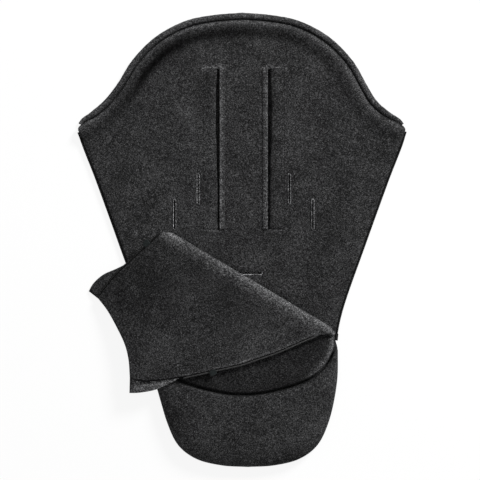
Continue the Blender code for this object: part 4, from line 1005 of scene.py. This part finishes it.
fold = {"stations": 150, "ends": 0.06, "arcSteps": 16, "innerSteps": 8, "innerRadius": 2.5 * mm, "tipShare": 0.35,
        "uneven": 0.5 * mm, "wave": 60 * mm, "lap": 1.4 * mm, "lapRise": 0.12 * mm, "room": 2 * mm,
        "tuckDrop": 0.1 * mm, "tucks": ((2 * mm, 0, 0), (2.1 * mm, 0.5, 0.05), (2.2 * mm, 1, 0.3), (2.3 * mm, 1, 0.9)),
        "tuckTurns": (0.6, 0.4, 0.1, -1), "highlightFrom": -0.6, "highlightReach": 1.2}
run = np.linalg.norm(foldEnd - foldStart)
corner = (flapCorner - foldStart) @ foldRun
cornerReach = np.linalg.norm(rightZip[0] - flapCorner)


def foldArc(point, radius, low, high, count):
    angles = np.linspace(-pi / 2, pi / 2, count)
    reach = point + foldOut * ((radius + fold["lap"]) * np.cos(angles) - fold["lap"])[:, None]
    return np.column_stack((reach, (low + high) / 2 + (high - low) / 2 * np.sin(angles)))


sections = []
for share in 0.5 - 0.5 * np.cos(np.linspace(fold["ends"], pi - fold["ends"], fold["stations"])):
    along = share * run
    point = foldStart + foldRun * along
    at = point[None]
    edge = distanceTo(at, coverSeams, False)
    base = pocketBase(at)
    low = float((base + lowerOver("cover", edge) - layers["cover"]["lower"])[0])
    innerLow = float((base + upperOver("cover", edge))[0])
    base = flapBase(at)
    flapLow = float((base + lowerOver("flap", distanceTo(at, shellSeams, False)) - layers["flap"]["lower"])[0])
    flapHigh = float((base + upperOver("flap", distanceTo(at, flapSeams, False)))[0])
    rising = float(ease(along / corner))
    innerHigh = innerLow + bag["layerGap"] + rising * (flapLow - innerLow - bag["layerGap"])
    high = innerHigh + rising * (flapHigh - flapLow) + (1 - rising) * (innerLow - low)
    full = float(ease(min(along, run - along) / (2 * cover["foldRadius"])))
    radius = cover["foldRadius"] * (fold["tipShare"] + (1 - fold["tipShare"]) * full)
    radius += fold["uneven"] * full * float(waves(at, fold["wave"], 21)[0])
    beyond = max(cornerReach * along / corner - fold["lap"] - fold["room"], 0) if along < corner else 0
    tucked = []
    for reach, far, drop in fold["tucks"]:
        spot = point - foldOut * (fold["lap"] + reach + beyond * far)
        tucked.append((*spot, high - fold["tuckDrop"] + (innerHigh - high) * drop))
    outer = foldArc(point, radius, low, high + fold["lapRise"], fold["arcSteps"])
    inner = foldArc(point, fold["innerRadius"], innerLow, innerHigh, fold["innerSteps"])
    sections.append(np.concatenate((outer, tucked, inner[::-1])))
coverFold = loftBody("coverFold", sections, liningFelt)
# painted highlight on the roll's upper side; the inner faces take the lower layer's painted shade
upward = np.concatenate((np.linspace(-1, 1, fold["arcSteps"]), fold["tuckTurns"], np.full(fold["innerSteps"], -1.0)))
foldPaintedLight = flapPad["foldPaintedHighlight"][0] * ease((upward - fold["highlightFrom"]) / fold["highlightReach"])
foldPaintedLight = np.where(upward > -1, foldPaintedLight, basePad["tone"])
setPaintedShading(coverFold, np.concatenate((np.tile(foldPaintedLight, len(sections)), (0, 0))))
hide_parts("cover_fold_roll")
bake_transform(coverFold)

piping = {"width": 6.4 * mm, "height": 3 * mm, "tip": 0.35, "sides": 12, "paintedShading": 1.1, "out": 1.5 * mm, "step": 2 * mm,
          "rise": 1 * mm, "shares": ((0.0, 0.0), (0.35, -0.03), (0.72, -0.02), (1.0, 0.0)), "full": (0.3, 0.5),
          "fallFrom": 0.4}
outs = lineNormals(rightZip)
begin, finish = rightZip[0] + outs[0] * piping["out"], foldStart + foldOut * piping["out"]
across = np.array((-(finish - begin)[1], (finish - begin)[0]))
edgeRun = cutLine(rightZip, 0, 0)[4:0:-1] + outs[4:0:-1] * piping["out"]
route = [begin + (finish - begin) * a - across * b for a, b in piping["shares"]]
route = smoothLine([*edgeRun, *route], piping["step"])
highEnd = float((flapBase(begin[None]) + layers["flap"]["seamRise"])[0]) + piping["rise"]
lowEnd = float((pocketBase(finish[None]) + layers["cover"]["seamRise"])[0])
fullFrom, fullTo = piping["full"]
sections = []
for i, (point, out) in enumerate(zip(route, lineNormals(route))):
    share = i / (len(route) - 1)
    size = 1 - (1 - piping["tip"]) * (ease((share - fullTo) / (1 - fullTo)) + ease(1 - share / fullFrom))
    middle = highEnd + (lowEnd - highEnd) * ease((share - piping["fallFrom"]) / (1 - piping["fallFrom"]))
    wide, tall = piping["width"] / 2 * size, piping["height"] / 2 * size
    sections.append([(*(point + out * (wide * cos(angle))), middle + tall * sin(angle))
                     for angle in turns(piping["sides"])])
cornerPiping = loftBody("cornerPiping", sections, liningFelt)
# painted highlight over the whole piping
setPaintedShading(cornerPiping, np.full(len(cornerPiping.data.vertices), piping["paintedShading"]))
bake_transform(cornerPiping)
print("cover fold")


# zips: tapes, and teeth set along each edge

zips = {"tapeInside": 6 * mm, "tapeOutside": 4.6 * mm, "sideOutside": 5.4 * mm, "tapeHidden": 0.9 * mm,
        "hideReach": 12 * mm, "tapeHalf": 0.4 * mm, "start": 1.5 * mm, "toothPitch": 2.6 * mm,
        "toothLength": 4.2 * mm, "toothWidth": 1.875 * mm, "toothHeight": 2.6 * mm, "cordAt": 0.9 * mm,
        "cordWide": 0.7 * mm, "cordTall": 1.3 * mm, "cordSides": 6}


def seamHeight(kind, points):
    base = {"back": lambda p: np.zeros(len(p)), "cover": pocketBase, "flap": flapBase}[kind](points)
    return base + layers[kind]["seamRise"]


def tapeStrip(name, line, kind, ends, node, body, hidden=None):
    line = cutLine(line, *ends)
    outs = lineNormals(line)
    wide = np.full(len(line), zips["sideOutside" if kind == "back" else "tapeOutside"])
    if hidden is not None:  # the ear under it covers the tape's edge
        wide -= (zips["tapeOutside"] - zips["tapeHidden"]) * ease((hidden - line[:, 0]) / zips["hideReach"])
    corners = []
    for offset in (-zips["tapeInside"], wide[:, None]):
        plan = line + outs * offset
        height = seamHeight(kind, plan)
        corners += [np.column_stack((plan, height + rise)) for rise in (-zips["tapeHalf"], zips["tapeHalf"])]
    a, b, c, d = corners
    belong(loftBody(name, list(zip(a, c, d, b)), tapeCloth), body, (node,))


def toothTree(name):  # teeth at even steps along a line
    tree = bpy.data.node_groups.new(name, "GeometryNodeTree")
    for way in ("INPUT", "OUTPUT"):
        tree.interface.new_socket("Geometry", in_out=way, socket_type="NodeSocketGeometry")
    kinds = {"start": "NodeGroupInput", "curve": "GeometryNodeMeshToCurve", "even": "GeometryNodeResampleCurve",
             "tangent": "GeometryNodeInputTangent", "align": "FunctionNodeAlignRotationToVector",
             "tooth": "GeometryNodeMeshUVSphere", "put": "GeometryNodeInstanceOnPoints",
             "real": "GeometryNodeRealizeInstances", "end": "NodeGroupOutput"}
    nodes = {word: tree.nodes.new(kind) for word, kind in kinds.items()}
    nodes["even"].mode = "LENGTH"
    nodes["align"].axis, nodes["align"].pivot_axis = "X", "Z"
    for word, socket, value in (
            ("even", "Length", zips["toothPitch"]), ("tooth", "Segments", 8), ("tooth", "Rings", 5),
            ("tooth", "Radius", 0.5), ("put", "Scale", (zips["toothWidth"], zips["toothLength"], zips["toothHeight"]))):
        nodes[word].inputs[socket].default_value = value
    for word, out, target, into in (
            ("start", "Geometry", "curve", "Mesh"), ("curve", "Curve", "even", "Curve"),
            ("even", "Curve", "put", "Points"), ("tooth", "Mesh", "put", "Instance"),
            ("tangent", "Tangent", "align", "Vector"), ("align", "Rotation", "put", "Rotation"),
            ("put", "Instances", "real", "Geometry"), ("real", "Geometry", "end", "Geometry")):
        tree.links.new(nodes[word].outputs[out], nodes[target].inputs[into])
    return tree


def runOnLine(name, points, tree, made):  # a repeated piece set along a line, as one plain mesh
    mesh = bpy.data.meshes.new(name + ".line")
    mesh.from_pydata(np.asarray(points).tolist(), [(i, i + 1) for i in range(len(points) - 1)], [])
    line = addObject(name + ".line", mesh)
    line.modifiers.new("run", "NODES").node_group = tree
    bpy.context.view_layer.update()
    result = bpy.data.meshes.new_from_object(line.evaluated_get(bpy.context.evaluated_depsgraph_get()))
    result.name = name
    bpy.data.objects.remove(line)
    result.materials.clear()
    result.materials.append(made)
    result.shade_smooth()
    return addObject(name, result)


teethOnTape = toothTree("teethOnTape")


def toothRun(name, line, kind, ends, node, body, made):
    line = cutLine(line, *ends)
    outs = lineNormals(line)
    height = seamHeight(kind, line)
    points = np.column_stack((line + outs * (zips["start"] + zips["toothLength"] / 2), height))
    belong(runOnLine(name, points, teethOnTape, made), body, (node,))
    cord = []
    for point, out, z in zip(line, outs, height):
        ring = []
        for angle in turns(zips["cordSides"]):
            spot = point + out * (zips["start"] + zips["cordAt"] + zips["cordWide"] * cos(angle))
            ring.append((*spot, z + zips["cordTall"] * sin(angle)))
        cord.append(ring)
    belong(loftBody(name + ".cord", cord, made), body)


zipRight, zipLeft = [shiftLine(line, -bag["zipReveal"]) for line in (sideRight, sideLeft)]
earRun = float(lineLengths(rightZip)[-1] - lineLengths(rightZip)[zipSplit])  # no teeth show above the ear
for name, line, kind, tapeEnds, teethEnds, nodes, body, made in (
        ("backZip.right", zipRight, "back", (8 * mm, 4 * mm), (23.3 * mm, 19.3 * mm),
         ("back_zip_tape_right", "back_zip_teeth_right"), "back", toothPlastic),
        ("backZip.left", zipLeft, "back", (4 * mm, 8 * mm), (19.3 * mm, 23.3 * mm),
         ("back_zip_tape_left", "back_zip_teeth_left"), "back", toothPlastic),
        ("baseZip.left", leftEdge, "cover", (18 * mm, 9 * mm), (18 * mm, 9 * mm),
         ("cover_zip_tape_base", "cover_zip_teeth_base"), "back", toothPlastic),
        ("flapZip.right", rightZip, "flap", (4.5 * mm, 9 * mm), (4.5 * mm, 0.3 * mm + earRun),
         ("cover_zip_tape_right", "cover_zip_teeth_right"), "cover_flap", chainPlastic),
        ("flapZip.left", leftZip, "flap", (9 * mm, 4.5 * mm), (14.3 * mm, 4.5 * mm),
         ("cover_zip_tape_left", "cover_zip_teeth_left"), "cover_flap", toothPlastic)):
    hidden = rightEar[0][0] if line is rightZip else None
    tapeStrip(name + ".tape", line, kind, tapeEnds, nodes[0], body, hidden)
    toothRun(name + ".teeth", line, kind, teethEnds, nodes[1], body, made)
print("zips")


# hard parts kept from the frame

for made, parts in ((sliderMetal, ("zip_slider", "pull_tab")),
                    (toothPlastic, ("back_zip_stop", "cover_zip_stop", "zip_box"))):
    for part in parts:
        for word in ("right", "left"):
            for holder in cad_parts[f"{part}_{word}"].material_slots:
                holder.material = made


# floor, light and camera

studio = {"frameWidth": 1056 * mm, "lens": 100, "sensor": 36, "pixel": 2.2 * mm, "middle": 240,
          "centre": (242.3, 239.5), "keyAt": (3.3, 3.7, 2.45), "keyPower": 350, "keySize": 1.6,
          "fillAt": (-0.6, -0.4, 2.6), "fillPower": 6, "fillSize": 2.0, "world": 0.2, "floorHalf": 6,
          "floorDrop": 0.6 * mm, "floorPaint": 0.8, "floorRoughness": 0.9, "floorGlow": 1.1, "glowShare": 0.8}


def seenRays(tree):  # the rays that show a thing, not those that light the bag
    rays = tree.nodes.new("ShaderNodeLightPath")
    shown = mathNode(tree, "MAXIMUM", rays.outputs["Is Glossy Ray"], rays.outputs["Is Transmission Ray"])
    return mathNode(tree, "MAXIMUM", rays.outputs["Is Camera Ray"], shown)


half = studio["floorHalf"]
floorPaint, tree, shader = newMaterial("floorPaint", studio["floorRoughness"])
shader.inputs["Base Color"].default_value = (*[studio["floorPaint"]] * 3, 1)
glow = tree.nodes.new("ShaderNodeEmission")
glow.inputs["Strength"].default_value = studio["floorGlow"]
mix = tree.nodes.new("ShaderNodeMixShader")
tree.links.new(mathNode(tree, "MULTIPLY", seenRays(tree), studio["glowShare"]), mix.inputs["Fac"])
tree.links.new(shader.outputs["BSDF"], mix.inputs[1])
tree.links.new(glow.outputs["Emission"], mix.inputs[2])
tree.links.new(mix.outputs["Shader"], tree.nodes["Material Output"].inputs["Surface"])
floorMesh = bpy.data.meshes.new("studioFloor")
floorMesh.from_pydata([(-half, -half, 0), (half, -half, 0), (half, half, 0), (-half, half, 0)], [], [(0, 1, 2, 3)])
floorMesh.materials.append(floorPaint)
floor = addObject("studioFloor", floorMesh)
floor.location = (0, 0, -studio["floorDrop"])

world = bpy.data.worlds.new("studio")
bpy.context.scene.world = world
world.use_nodes = True
tree = world.node_tree
background = tree.nodes["Background"]
background.inputs["Color"].default_value = (1, 1, 1, 1)
tree.links.new(rangeNode(tree, seenRays(tree), 0, 1, studio["world"], 1.0), background.inputs["Strength"])


def areaLight(name, at, power, size):
    data = bpy.data.lights.new(name, "AREA")
    data.shape, data.energy, data.size = "DISK", power, size
    lamp = addObject(name, data)
    lamp.location = at
    lamp.rotation_euler = (-Vector(at)).to_track_quat("-Z", "Y").to_euler()


areaLight("keyLight", studio["keyAt"], studio["keyPower"], studio["keySize"])
areaLight("fillLight", studio["fillAt"], studio["fillPower"], studio["fillSize"])

cameraData = bpy.data.cameras.new("camera")
cameraData.lens, cameraData.sensor_width = studio["lens"], studio["sensor"]
camera = addObject("camera", cameraData)
(x, y), middle, pixel = studio["centre"], studio["middle"], studio["pixel"]  # of the bag, in the photo
height = studio["frameWidth"] * studio["lens"] / studio["sensor"]
camera.location = ((middle - x) * pixel, (y - middle) * pixel, height)
bpy.context.scene.camera = camera
bpy.context.scene.view_settings.view_transform = "Standard"
print("studio set")
